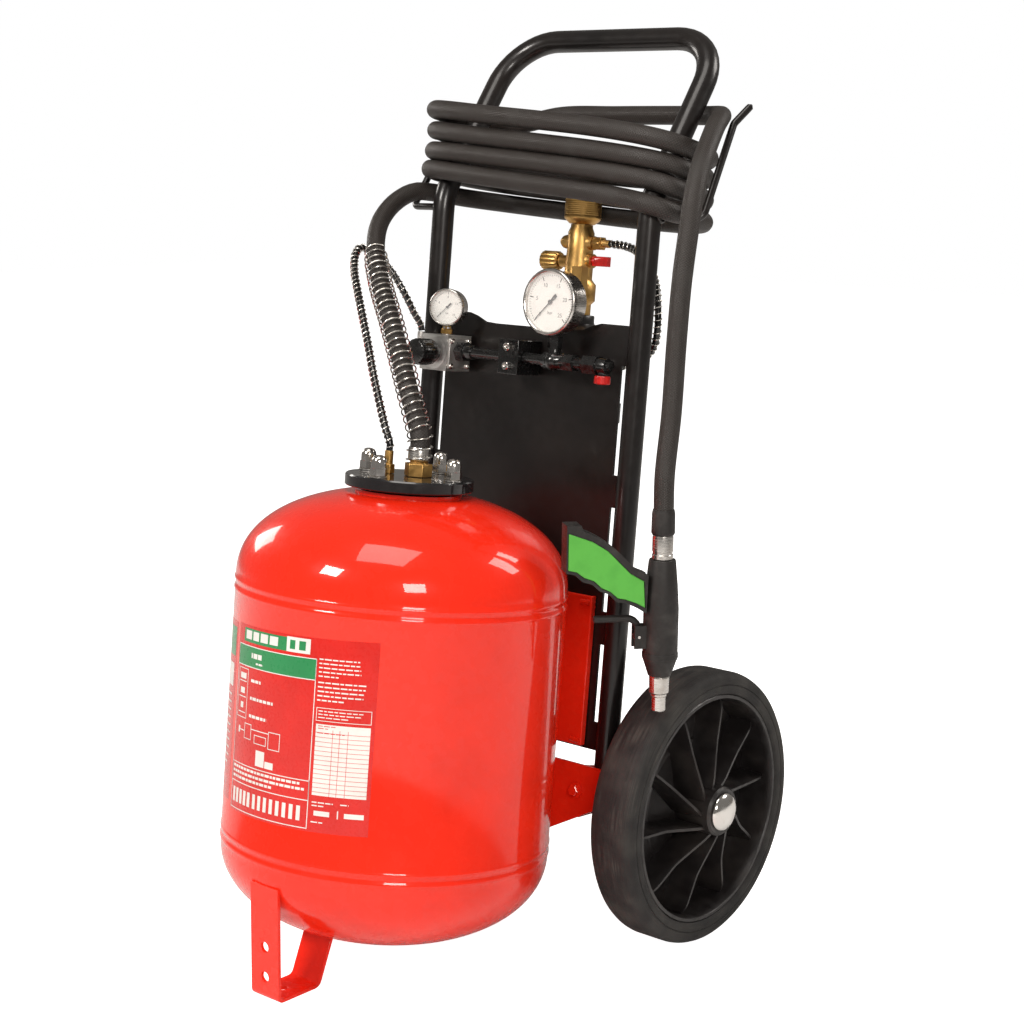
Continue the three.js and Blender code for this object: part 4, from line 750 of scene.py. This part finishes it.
# ------------------------------------------------------------------ gas supply
def make_gas_supply():
    bottle = [(0, 72), (36, 72), (44, 73.5), (51, 77), (56, 84), (57.5, 94), (57.5, 462), (57, 470), (54.5, 480)]
    bottle += [(50, 489), (43, 497), (34, 504), (26, 508), (22.5, 509.5), (22, 512), (22, 518), (21, 519), (0, 519)]
    adopt(lathe("gas_cylinder_finished", bottle, at=(0, 6, 0), sides=96, sharp=45), "gas_cylinder")
    refined("cylinder_valve", edge=0.7, segments=2, sharp=30)
    base = 620.8
    cap = [(0, base), (14, base), (15.5, base + 1), (20, base + 5), (21, base + 7)]
    for k in range(9):
        cap += [(21, base + 9 + 2.2 * k), (20.75, base + 9.8 + 2.2 * k), (20.75, base + 10.4 + 2.2 * k)]
    cap += [(21, base + 30), (21, base + 33), (19, base + 35), (0, base + 35)]
    adopt(lathe("valve_cap_finished", cap, at=(0, 6, 0), sides=64), "valve_cap")
    refined("valve_key", edge=1.2)
    nut = [(0, -52), (8.5, -52), (11, -50), (11, -30), (9, -27), (0, -27)]
    knurled = lathe("valve_charging_nut_finished", nut, at=(0, 6, 578.3), axis="X", sides=72, flutes=18,
                    flute_depth=0.06)
    adopt(knurled, "valve_charging_nut")
    refined("valve_outlet_fitting", edge=0.5, segments=2)
    for i, z in enumerate((161, 411)):
        for s in (-1, 1):
            head = [(0, 0), (7, 0), (7, 1.2), (5.2, 1.3), (5.2, 5), (4.4, 5.8), (0, 5.8)]
            bolt = lathe(f"strap_bolt_{i}_{'l' if s < 0 else 'r'}", [(r, -h) for r, h in head][::-1],
                         at=(s * 71.5, -62, z), axis="FRONT", sides=6, sharp=25)
            dress(bolt, "steel")


# ------------------------------------------------------------------ manifold and gauges
def make_manifold():
    refined("regulator_block", edge=1.8)
    flange = [(0, -1.0), (19, -1.0), (19, -0.2), (18, 0.15), (0, 0.15)]
    dress(lathe("regulator_collar", flange, at=(-102, -116, 466), axis="FRONT", sides=64), "cast_aluminium")
    knob = [(0, 0.4), (11, 0.4), (11.4, 5), (13.6, 6), (14.6, 7), (14.9, 10), (14.9, 28), (14, 31), (12, 32)]
    knob.append((0, 32))
    turned = lathe("regulator_knob_finished", knob, at=(-102, -116, 466), axis="FRONT", sides=120, flutes=20,
                   flute_depth=0.025)
    adopt(turned, "regulator_knob")
    sleeve = [(5.2, 487), (6.6, 487), (7, 488), (7, 492), (5.4, 493), (5.4, 495.4), (5.2, 495.4), (5.2, 487)]
    dress(lathe("gauge_stem_sleeve", sleeve, at=(-102, -96, 0), sides=6, sharp=25), "brass")
    dress(block("regulator_plate", (1.6, 34, 34), (-81.4, -96, 466), bevel=0.6), "cast_aluminium")
    for i, (y, z) in enumerate(((-110, 452), (-82, 452), (-110, 480), (-82, 480))):
        screw = [(0, 0), (3.2, 0), (3.2, 1.8), (2.6, 2.4), (1.5, 2.4), (1.4, 1.2), (0, 1.2)]
        dress(lathe(f"regulator_screw_{i}", screw, at=(-80.7, y, z), axis="X", sides=24), "steel")
    refined("manifold_pipe", edge=0.5, segments=2)
    refined("manifold_clamp", edge=1.4)
    for i, z in enumerate((480, 459)):
        screw = [(0, 0), (4.6, 0), (4.6, 4.0), (4.0, 4.8), (2.5, 4.8), (2.4, 2.2), (0, 2.2)]
        dress(lathe(f"clamp_screw_{i}", screw, at=(1, -108.1, z), axis="FRONT", sides=32), "chrome")
    refined("manifold_tee", edge=0.6, segments=2)
    knob = [(0, 449.6), (8, 449.6), (9, 450.6), (9, 457.4), (8, 458.5), (0, 458.5)]
    adopt(lathe("bleed_knob_finished", knob, at=(124, -96, 0), sides=60, flutes=14, flute_depth=0.06), "bleed_knob")


def gauge_place(turn, at):
    """Gauge millimetres, face towards +Z and 12 o'clock towards +Y, to row metres."""

    def place(points):
        x, y, z = np.moveaxis(turn_axis(np.asarray(points, float), "FRONT"), -1, 0)
        c, s = np.cos(turn), np.sin(turn)
        return RIG(np.stack([x * c - y * s, x * s + y * c, z], -1) + np.asarray(at, float))

    return place


def make_gauges():
    make_gauge("large_gauge", 36.0, 26.0, 0.0, (54, -98, 532), (0, 5, 10, 15, 20, 25))
    make_gauge("small_gauge", 21.0, 20.0, np.radians(20), (-100, -97, 517), (0, 4, 8, 12, 16))


def make_gauge(name, radius, depth, turn, at, numbers):
    place = gauge_place(turn, at)
    half = depth / 2
    rim = radius * 0.9
    case = [(0, -half), (rim, -half), (radius * 0.94, -half + 2), (radius * 0.94, half - 6.5)]
    case += [(radius * 0.97, half - 6), (radius, half - 5), (radius, half - 1.6), (radius - 0.5, half - 0.6)]
    case += [(radius - 1.4, half), (rim + 0.8, half), (rim, half - 0.8), (rim, half - 5), (0, half - 5)]
    adopt(lathe(f"{name}_case_finished", case, place=place, sides=96), f"{name}_case")
    dial = [(0, half - 5), (rim - 0.05, half - 5), (rim - 0.05, half - 4.8), (0, half - 4.8)]
    dress(lathe(f"{name}_dial", dial, place=place, sides=72), "steel", finish="dial_white")
    face = half - 4.78
    marks, faces = [], []
    count = 10 * (len(numbers) - 1) + 1
    for k, a in enumerate(np.radians(np.linspace(225, -45, count))):
        major = k % 10 == 0
        inner = rim * (0.76 if major else 0.84 if k % 5 == 0 else 0.87)
        wide = radius * (0.016 if major else 0.008)
        d, n = np.array([np.cos(a), np.sin(a), 0]), np.array([-np.sin(a), np.cos(a), 0])
        outer = rim * 0.92
        marks += [d * inner - n * wide, d * outer - n * wide, d * outer + n * wide, d * inner + n * wide]
        faces.append([4 * k, 4 * k + 1, 4 * k + 2, 4 * k + 3])
    mesh = bpy.data.meshes.new(f"{name}_marks")
    mesh.from_pydata(place(np.array(marks) + (0, 0, face + 0.05)).tolist(), [], faces)
    dress(thin(finished(f"{name}_marks", mesh, outward=False, merge=1e-7)), "needle_black")
    spots = np.radians(np.linspace(225, -45, len(numbers)))
    texts = [(str(n), rim * 0.6 * np.cos(a), rim * 0.6 * np.sin(a), radius * 0.17) for n, a in zip(numbers, spots)]
    texts.append(("bar", 0, -rim * 0.36, radius * 0.15))
    dress(thin(lettering(f"{name}_numbers", texts, place, face + 0.05)), "needle_black")
    pin = [(0, face + 0.3), (radius * 0.07, face + 0.3), (radius * 0.07, face + 1.8), (radius * 0.05, face + 2.2),
           (0, face + 2.2)]
    hub = lathe(f"{name}_hub", pin, place=place, sides=32)
    blade_outline = np.array([(0.016, -0.05), (0.01, 0.8), (0, 0.84), (-0.01, 0.8), (-0.016, -0.05), (-0.05, -0.14),
                              (-0.06, -0.34), (0.06, -0.34), (0.05, -0.14)]) * rim
    a = np.radians(135)
    flat = blade_outline @ np.array([[np.cos(a), np.sin(a)], [-np.sin(a), np.cos(a)]])
    levels = [(0.0, face + 0.9), (1.0, face + 0.9), (1.0, face + 1.5), (0.0, face + 1.5)]
    blade = np.stack([np.concatenate([flat * k, np.full((len(flat), 1), z)], 1) for k, z in levels])
    pointer = surface(f"{name}_blade", place(blade), sharp=25)
    adopt(joined(f"{name}_needle_finished", [hub, pointer]), f"{name}_needle")
    glass = [(0, half - 2), (rim - 0.3, half - 2), (rim - 0.3, half - 0.8), (0, half - 0.6)]
    adopt(lathe(f"{name}_lens_finished", glass, place=place, sides=72), f"{name}_lens")


def thin(piece, thickness=0.00004, offset=0):
    """Gives a flat print a little thickness."""
    film = piece.modifiers.new("film", "SOLIDIFY")
    film.thickness = thickness
    film.offset = offset
    return piece


def lettering(name, texts, place, height):
    """Numbers and a unit as flat meshes, centred on their spots on the dial."""
    points, faces, start = [], [], 0
    for text, x, y, size in texts:
        curve = bpy.data.curves.new("digits", "FONT")
        curve.body = text
        curve.size = size
        curve.align_x = "CENTER"
        curve.align_y = "CENTER"
        holder = bpy.data.objects.new("digits", curve)
        bpy.context.scene.collection.objects.link(holder)
        mesh = bpy.data.meshes.new_from_object(holder.evaluated_get(bpy.context.evaluated_depsgraph_get()))
        flat = np.empty(len(mesh.vertices) * 3)
        mesh.vertices.foreach_get("co", flat)
        flat = flat.reshape(-1, 3) + (x, y, height)
        points.append(flat)
        faces += [[start + i for i in polygon.vertices] for polygon in mesh.polygons]
        start += len(flat)
        bpy.data.objects.remove(holder)
    mesh = bpy.data.meshes.new(name)
    mesh.from_pydata(place(np.concatenate(points)).tolist(), [], faces)
    return finished(name, mesh, outward=False, merge=1e-7)


# ------------------------------------------------------------------ hoses
RISER = [(8, -247.5, 373.1), (8, -247.5, 381), (-3, -244, 400), (-20, -238, 424), (-46, -225, 454),
         (-85, -205, 497), (-130, -180, 539), (-164, -156, 577), (-186, -128, 608), (-193, -98, 632),
         (-190, -70, 646), (-182, -46, 647), (-162, -16, 644)]
DROP = [(-70, 40, 745), (10, 41, 746), (90, 39, 746), (140, 31, 745), (172, 12, 743), (192, -16, 738),
        (206, -44, 726), (217, -70, 705), (227, -96, 677), (234, -113, 645), (238, -122, 612), (240, -129, 565),
        (241, -131, 500), (242, -131, 430)]
GAS_TANK = [(-139, -98, 487.9), (-140, -99, 494), (-145, -107, 508), (-152, -118, 530), (-164, -126, 551),
            (-176, -136, 567), (-184, -147, 575), (-186, -158, 576), (-181, -170, 568), (-166, -185, 549),
            (-145, -199, 527), (-121, -213, 500), (-96, -227, 470), (-74, -239, 441), (-52, -249, 411),
            (-34, -257, 388), (-25, -258.5, 373.5), (-25, -258.5, 365.8)]
GAS_CYLINDER = [(42.3, 6, 600.3), (50, 6, 600.3), (75, 2, 597), (100, -8, 587), (122, -20, 572), (139, -32, 553),
                (148, -39, 532), (149, -39, 512), (143, -34, 494), (128, -29, 480), (114, -33, 471), (110, -43, 469),
                (110, -51.7, 469)]


def wound(angle):
    """The wound hose in the rig frame. Its plan is a squared oval, x = X - A sgn(c) |c|^p and
    y = Y + B sgn(s) |s|^p, with p = 2/4 in front and 2/2.6 behind, and it climbs one pitch a turn.
    Slow waves let the turns lie a little unevenly, and the lowest front strand is pushed off the legs.
    """
    c, s = np.cos(angle), np.sin(angle)
    p = np.where(s < 0, 2 / 4, 2 / 2.6)
    pull = np.where(c < 0, 0, 1) * np.interp(angle / np.pi, [1, 3, 7, 8], [0, -8, -6, -5])
    loose = 1.6 * np.sin(0.61 * angle + 0.6) + pull
    x = -6 - (180 + loose * np.abs(c)) * np.sign(c) * np.abs(c) ** p
    y = -23 + (63 + 0.4 * loose) * np.sign(s) * np.abs(s) ** p
    z = 634.5 + 22.6 * angle / (2 * np.pi) - 0.0716 * (x + 6) - 0.12 * (y + 23) + 0.9 * np.sin(1.37 * angle)
    leg = FRAME_Y + np.maximum(0, z - 628) * np.tan(HANDLE_LEAN)
    clear = leg - 27.5
    near = np.exp(-(((np.abs(x) - UPRIGHT_X) / 34) ** 2))
    y = np.where(s < 0, y - np.maximum(0, y - clear) * near, y)
    return np.stack([x, y, z + 4 * np.clip((angle - 8 * np.pi) / (0.3 * np.pi), 0, 1)], -1)


def make_hoses(settings):
    c, s = np.cos(LEAN), np.sin(LEAN)
    end = []
    for rise in (60, 25, 0):
        y, z = GUN_PLACE[1], GUN_PLACE[2] + 25.6 + rise - WHEEL_R
        end.append((GUN_PLACE[0], y * c - z * s, z * c + y * s))
    turns = wound(np.arange(0.3, 8.3001, 1 / 20) * np.pi)
    line = route(np.vstack([RISER, turns, DROP, end]), 8)
    main = tube("hose_finished", line, HOSE_R, sides=28)
    dress(main, "hose_rubber")
    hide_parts("hose_riser", "hose_coil", "hose_drop")
    path = RIG(line)
    cuff_line = route(np.array(end)[::-1], 2)[:14]
    cuff_radius = np.interp(np.arange(len(cuff_line)), [0, 1, 11, 13], [11.2, 12.2, 11.9, 11.1])
    cuff = tube("hose_cuff", cuff_line, cuff_radius, sides=28)
    dress(cuff, "hose_rubber", finish="gun_black")
    for name, points in (("gas_hose_tank", GAS_TANK), ("gas_hose_cylinder", GAS_CYLINDER)):
        thin_line = route(points, 3)
        piece = tube(f"{name}_finished", thin_line, GAS_HOSE_R, sides=16)
        dress(piece, "hose_rubber", finish="fitting_black")
        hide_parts(name)
        path = RIG(thin_line)
        wire = helix(thin_line[1:-1], 4.3, 6.6, per_turn=16)
        dress(tube(f"{name}_guard", wire, 0.62, sides=6), "steel", finish="guard_wire")
    upward = route([(8, -247.5, 357.5)] + RISER[:9], 4)
    reach = upward[upward[:, 2] < 574]
    pitch, per_turn = settings.guard_pitch * 1000, 28
    radius = np.interp(evenly(reach, pitch / per_turn)[:, 2], [356, 385, 560, 574], [13.6, 13.2, 13.2, 11.6])
    wire = helix(reach, radius[:, None], pitch, per_turn)
    dress(tube("riser_guard", wire, 0.85, sides=8), "steel", finish="guard_wire")


# ------------------------------------------------------------------ gun
def make_gun():
    ferrule = [(0, 0.3), (10.2, 0.3), (10.8, 1), (10.8, 5), (10.2, 5.6), (10.2, 8), (10.8, 8.6), (10.8, 23)]
    adopt(lathe("gun_ferrule_finished", ferrule + [(10.4, 25), (0, 25)], place=GUN, sides=48), "gun_ferrule")
    refined("gun_body", edge=0.8, segments=2, sharp=30)
    slot = block("gun_latch", (3.4, 7, 11), (17.6, -7.5, -20), place=GUN, bevel=0.5)
    dress(slot, "gun_black", finish="fitting_black")
    ring = [(18.0, -103), (18.7, -102.4), (18.7, -98), (18.0, -97.4)]
    dress(lathe("gun_ring", ring + [ring[0]], place=GUN, sides=64), "gun_black")
    frame["nodes"]["gun_nozzle"].material_slots[0].material = FINISH[SLOT_OF["gun_nozzle"]]
    refined("gun_grip", edge=2.6, segments=4, angle=50)
    refined("grip_inlay", edge=0.8, segments=2, angle=60)
    refined("gun_trigger", edge=0.5, segments=2)
    refined("trigger_pin")


# ------------------------------------------------------------------ stage
CAMERA_PLACE = (1.4115, -1.57664, 0.86273)
CAMERA_AZIMUTH = np.radians(40.3)
CAMERA_DOWN = np.radians(10.65)
CAMERA_ROLL = np.radians(0.74)


def make_stage(settings):
    ahead = Vector((-np.sin(CAMERA_AZIMUTH) * np.cos(CAMERA_DOWN), np.cos(CAMERA_AZIMUTH) * np.cos(CAMERA_DOWN),
                    -np.sin(CAMERA_DOWN)))
    level = Vector((np.cos(CAMERA_AZIMUTH), np.sin(CAMERA_AZIMUTH), 0))
    upward = level.cross(ahead)
    right = level * np.cos(CAMERA_ROLL) + upward * np.sin(CAMERA_ROLL)
    up = upward * np.cos(CAMERA_ROLL) - level * np.sin(CAMERA_ROLL)
    camera = bpy.data.objects.new("camera", bpy.data.cameras.new("camera"))
    turn = Matrix((right, up, -ahead)).transposed().to_4x4()
    camera.matrix_world = Matrix.Translation(CAMERA_PLACE) @ turn
    camera.data.sensor_width = 36
    camera.data.lens = 69.99
    bpy.context.scene.collection.objects.link(camera)
    bpy.context.scene.camera = camera

    spread = np.array([[(-1, -1, 0), (-1, 1, 0)], [(1, -1, 0), (1, 1, 0)]], float) * 9
    floor = surface("floor", spread, wrap_v=False, outward=False)
    pale = Finish("floor_pale", tuple(settings.floor), 0.85, specular=0.0)
    pale.set("Emission Color", (1, 1, 1, 1))
    seen = pale.nodes.new("ShaderNodeLightPath")
    pale.link(seen.outputs["Is Camera Ray"], pale.shader.inputs["Emission Strength"])
    floor.data.materials.append(pale.material)

    lamps = [
        ("key", (-0.5, -2.5, 2.2), 0.7, 50),
        ("fill", (2.4, -1.9, 1.7), 0.8, 36),
        ("back", (1.6, 2.2, 2.4), 1.2, 36),
        ("side", (-3.0, 0.2, 1.5), 0.9, 18),
        ("top", (0.3, -0.8, 3.2), 1.4, 30),
    ]
    for name, at, size, power in lamps:
        lamp = bpy.data.lights.new(name, "AREA")
        lamp.shape = "SQUARE"
        lamp.size = size
        lamp.energy = power * settings.light
        lamp.color = (1.0, 0.95, 0.9)
        holder = bpy.data.objects.new(name, lamp)
        aim = Vector((0, -0.05, 0.45)) - Vector(at)
        holder.matrix_world = Matrix.Translation(at) @ aim.to_track_quat("-Z", "Y").to_matrix().to_4x4()
        bpy.context.scene.collection.objects.link(holder)

    world = bpy.data.worlds.new("studio")
    world.use_nodes = True
    nodes, links = world.node_tree.nodes, world.node_tree.links
    nodes["Background"].inputs["Color"].default_value = (1, 0.94, 0.88, 1)
    nodes["Background"].inputs["Strength"].default_value = 0.2
    bright = nodes.new("ShaderNodeBackground")
    bright.inputs["Color"].default_value = (1, 1, 1, 1)
    bright.inputs["Strength"].default_value = 1.0
    seen = nodes.new("ShaderNodeLightPath")
    mix = nodes.new("ShaderNodeMixShader")
    links.new(seen.outputs["Is Camera Ray"], mix.inputs[0])
    links.new(nodes["Background"].outputs[0], mix.inputs[1])
    links.new(bright.outputs[0], mix.inputs[2])
    links.new(mix.outputs[0], nodes["World Output"].inputs["Surface"])
    bpy.context.scene.world = world
    bpy.context.scene.view_settings.view_transform = "Standard"


# ------------------------------------------------------------------ add-on
class ExtinguisherSettings(bpy.types.PropertyGroup):
    """Colours and sizes a user would change."""

    paint: bpy.props.FloatVectorProperty(
        name="Tank paint", description="Colour of the tank and its brackets", subtype="COLOR", size=3,
        default=(0.95, 0.026, 0.008), min=0, max=1)
    frame: bpy.props.FloatVectorProperty(
        name="Frame coat", description="Colour of the trolley frame", subtype="COLOR", size=3,
        default=(0.006, 0.005, 0.005), min=0, max=1)
    hose: bpy.props.FloatVectorProperty(
        name="Hose rubber", description="Colour of the hose", subtype="COLOR", size=3,
        default=(0.022, 0.018, 0.016), min=0, max=1)
    floor: bpy.props.FloatVectorProperty(
        name="Floor", description="Colour of the floor", subtype="COLOR", size=3,
        default=(0.9, 0.9, 0.9), min=0, max=1)
    guard_pitch: bpy.props.FloatProperty(
        name="Guard pitch", description="Distance between the turns of the riser's wire guard", unit="LENGTH",
        default=0.0094, min=0.004, max=0.02)
    light: bpy.props.FloatProperty(
        name="Light", description="Strength of the studio lamps", subtype="FACTOR", default=1.0, min=0.1, max=3.0)


class EXTINGUISHER_OT_finishes(bpy.types.Operator):
    """Make the node materials of every finish"""

    bl_idname = "extinguisher.finishes"
    bl_label = "Finishes"

    def execute(self, context):
        make_finishes(context.scene.extinguisher)
        return {"FINISHED"}


class EXTINGUISHER_OT_stage(bpy.types.Operator):
    """Make the camera, floor, lamps and sky"""

    bl_idname = "extinguisher.stage"
    bl_label = "Stage"

    def execute(self, context):
        make_stage(context.scene.extinguisher)
        return {"FINISHED"}


class EXTINGUISHER_OT_hoses(bpy.types.Operator):
    """Make the main hose, the thin gas hoses and their wire guards"""

    bl_idname = "extinguisher.hoses"
    bl_label = "Hoses"

    def execute(self, context):
        make_hoses(context.scene.extinguisher)
        return {"FINISHED"}


class EXTINGUISHER_OT_frame(bpy.types.Operator):
    """Make the frame tube, back plate, hooks and straps"""

    bl_idname = "extinguisher.frame"
    bl_label = "Frame"

    def execute(self, context):
        make_frame()
        return {"FINISHED"}


class EXTINGUISHER_OT_brackets(bpy.types.Operator):
    """Make the tank tray, axle brackets, axle and foot"""

    bl_idname = "extinguisher.brackets"
    bl_label = "Brackets and foot"

    def execute(self, context):
        make_brackets()
        return {"FINISHED"}


class EXTINGUISHER_OT_wheels(bpy.types.Operator):
    """Make both wheels"""

    bl_idname = "extinguisher.wheels"
    bl_label = "Wheels"

    def execute(self, context):
        make_wheels()
        return {"FINISHED"}


class EXTINGUISHER_OT_tank(bpy.types.Operator):
    """Make the tank, its lid and the fittings on the lid"""

    bl_idname = "extinguisher.tank"
    bl_label = "Tank"

    def execute(self, context):
        make_tank()
        return {"FINISHED"}


class EXTINGUISHER_OT_label(bpy.types.Operator):
    """Make the plain printed label on the tank"""

    bl_idname = "extinguisher.label"
    bl_label = "Label"

    def execute(self, context):
        make_label()
        return {"FINISHED"}


class EXTINGUISHER_OT_gas_supply(bpy.types.Operator):
    """Make the gas cylinder and its valve"""

    bl_idname = "extinguisher.gas_supply"
    bl_label = "Gas supply"

    def execute(self, context):
        make_gas_supply()
        return {"FINISHED"}


class EXTINGUISHER_OT_manifold(bpy.types.Operator):
    """Make the regulator, pipe, clamp, tee and knobs"""

    bl_idname = "extinguisher.manifold"
    bl_label = "Manifold"

    def execute(self, context):
        make_manifold()
        return {"FINISHED"}


class EXTINGUISHER_OT_gauges(bpy.types.Operator):
    """Make both pressure gauges"""

    bl_idname = "extinguisher.gauges"
    bl_label = "Gauges"

    def execute(self, context):
        make_gauges()
        return {"FINISHED"}


class EXTINGUISHER_OT_gun(bpy.types.Operator):
    """Make the trigger gun"""

    bl_idname = "extinguisher.gun"
    bl_label = "Gun"

    def execute(self, context):
        make_gun()
        return {"FINISHED"}


STEPS = ("finishes", "stage", "gun", "hoses", "frame", "brackets", "wheels", "tank", "label", "gas_supply",
         "manifold", "gauges")


class EXTINGUISHER_PT_panel(bpy.types.Panel):
    """Lists the settings and the pieces"""

    bl_label = "Extinguisher"
    bl_idname = "EXTINGUISHER_PT_panel"
    bl_space_type = "VIEW_3D"
    bl_region_type = "UI"
    bl_category = "Extinguisher"

    def draw(self, context):
        for key in ("paint", "frame", "hose", "floor", "guard_pitch", "light"):
            self.layout.prop(context.scene.extinguisher, key)
        for step in STEPS:
            self.layout.operator(f"extinguisher.{step}")


CLASSES = (
    ExtinguisherSettings, EXTINGUISHER_OT_finishes, EXTINGUISHER_OT_stage, EXTINGUISHER_OT_hoses,
    EXTINGUISHER_OT_frame, EXTINGUISHER_OT_brackets, EXTINGUISHER_OT_wheels, EXTINGUISHER_OT_tank,
    EXTINGUISHER_OT_label, EXTINGUISHER_OT_gas_supply, EXTINGUISHER_OT_manifold, EXTINGUISHER_OT_gauges,
    EXTINGUISHER_OT_gun, EXTINGUISHER_PT_panel,
)


def register():
    for cls in CLASSES:
        bpy.utils.register_class(cls)
    bpy.types.Scene.extinguisher = bpy.props.PointerProperty(type=ExtinguisherSettings)


def unregister():
    del bpy.types.Scene.extinguisher
    for cls in reversed(CLASSES):
        bpy.utils.unregister_class(cls)


def main():
    register()
    for step in STEPS:
        getattr(bpy.ops.extinguisher, step)()
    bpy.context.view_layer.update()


if __name__ == "__main__":
    main()
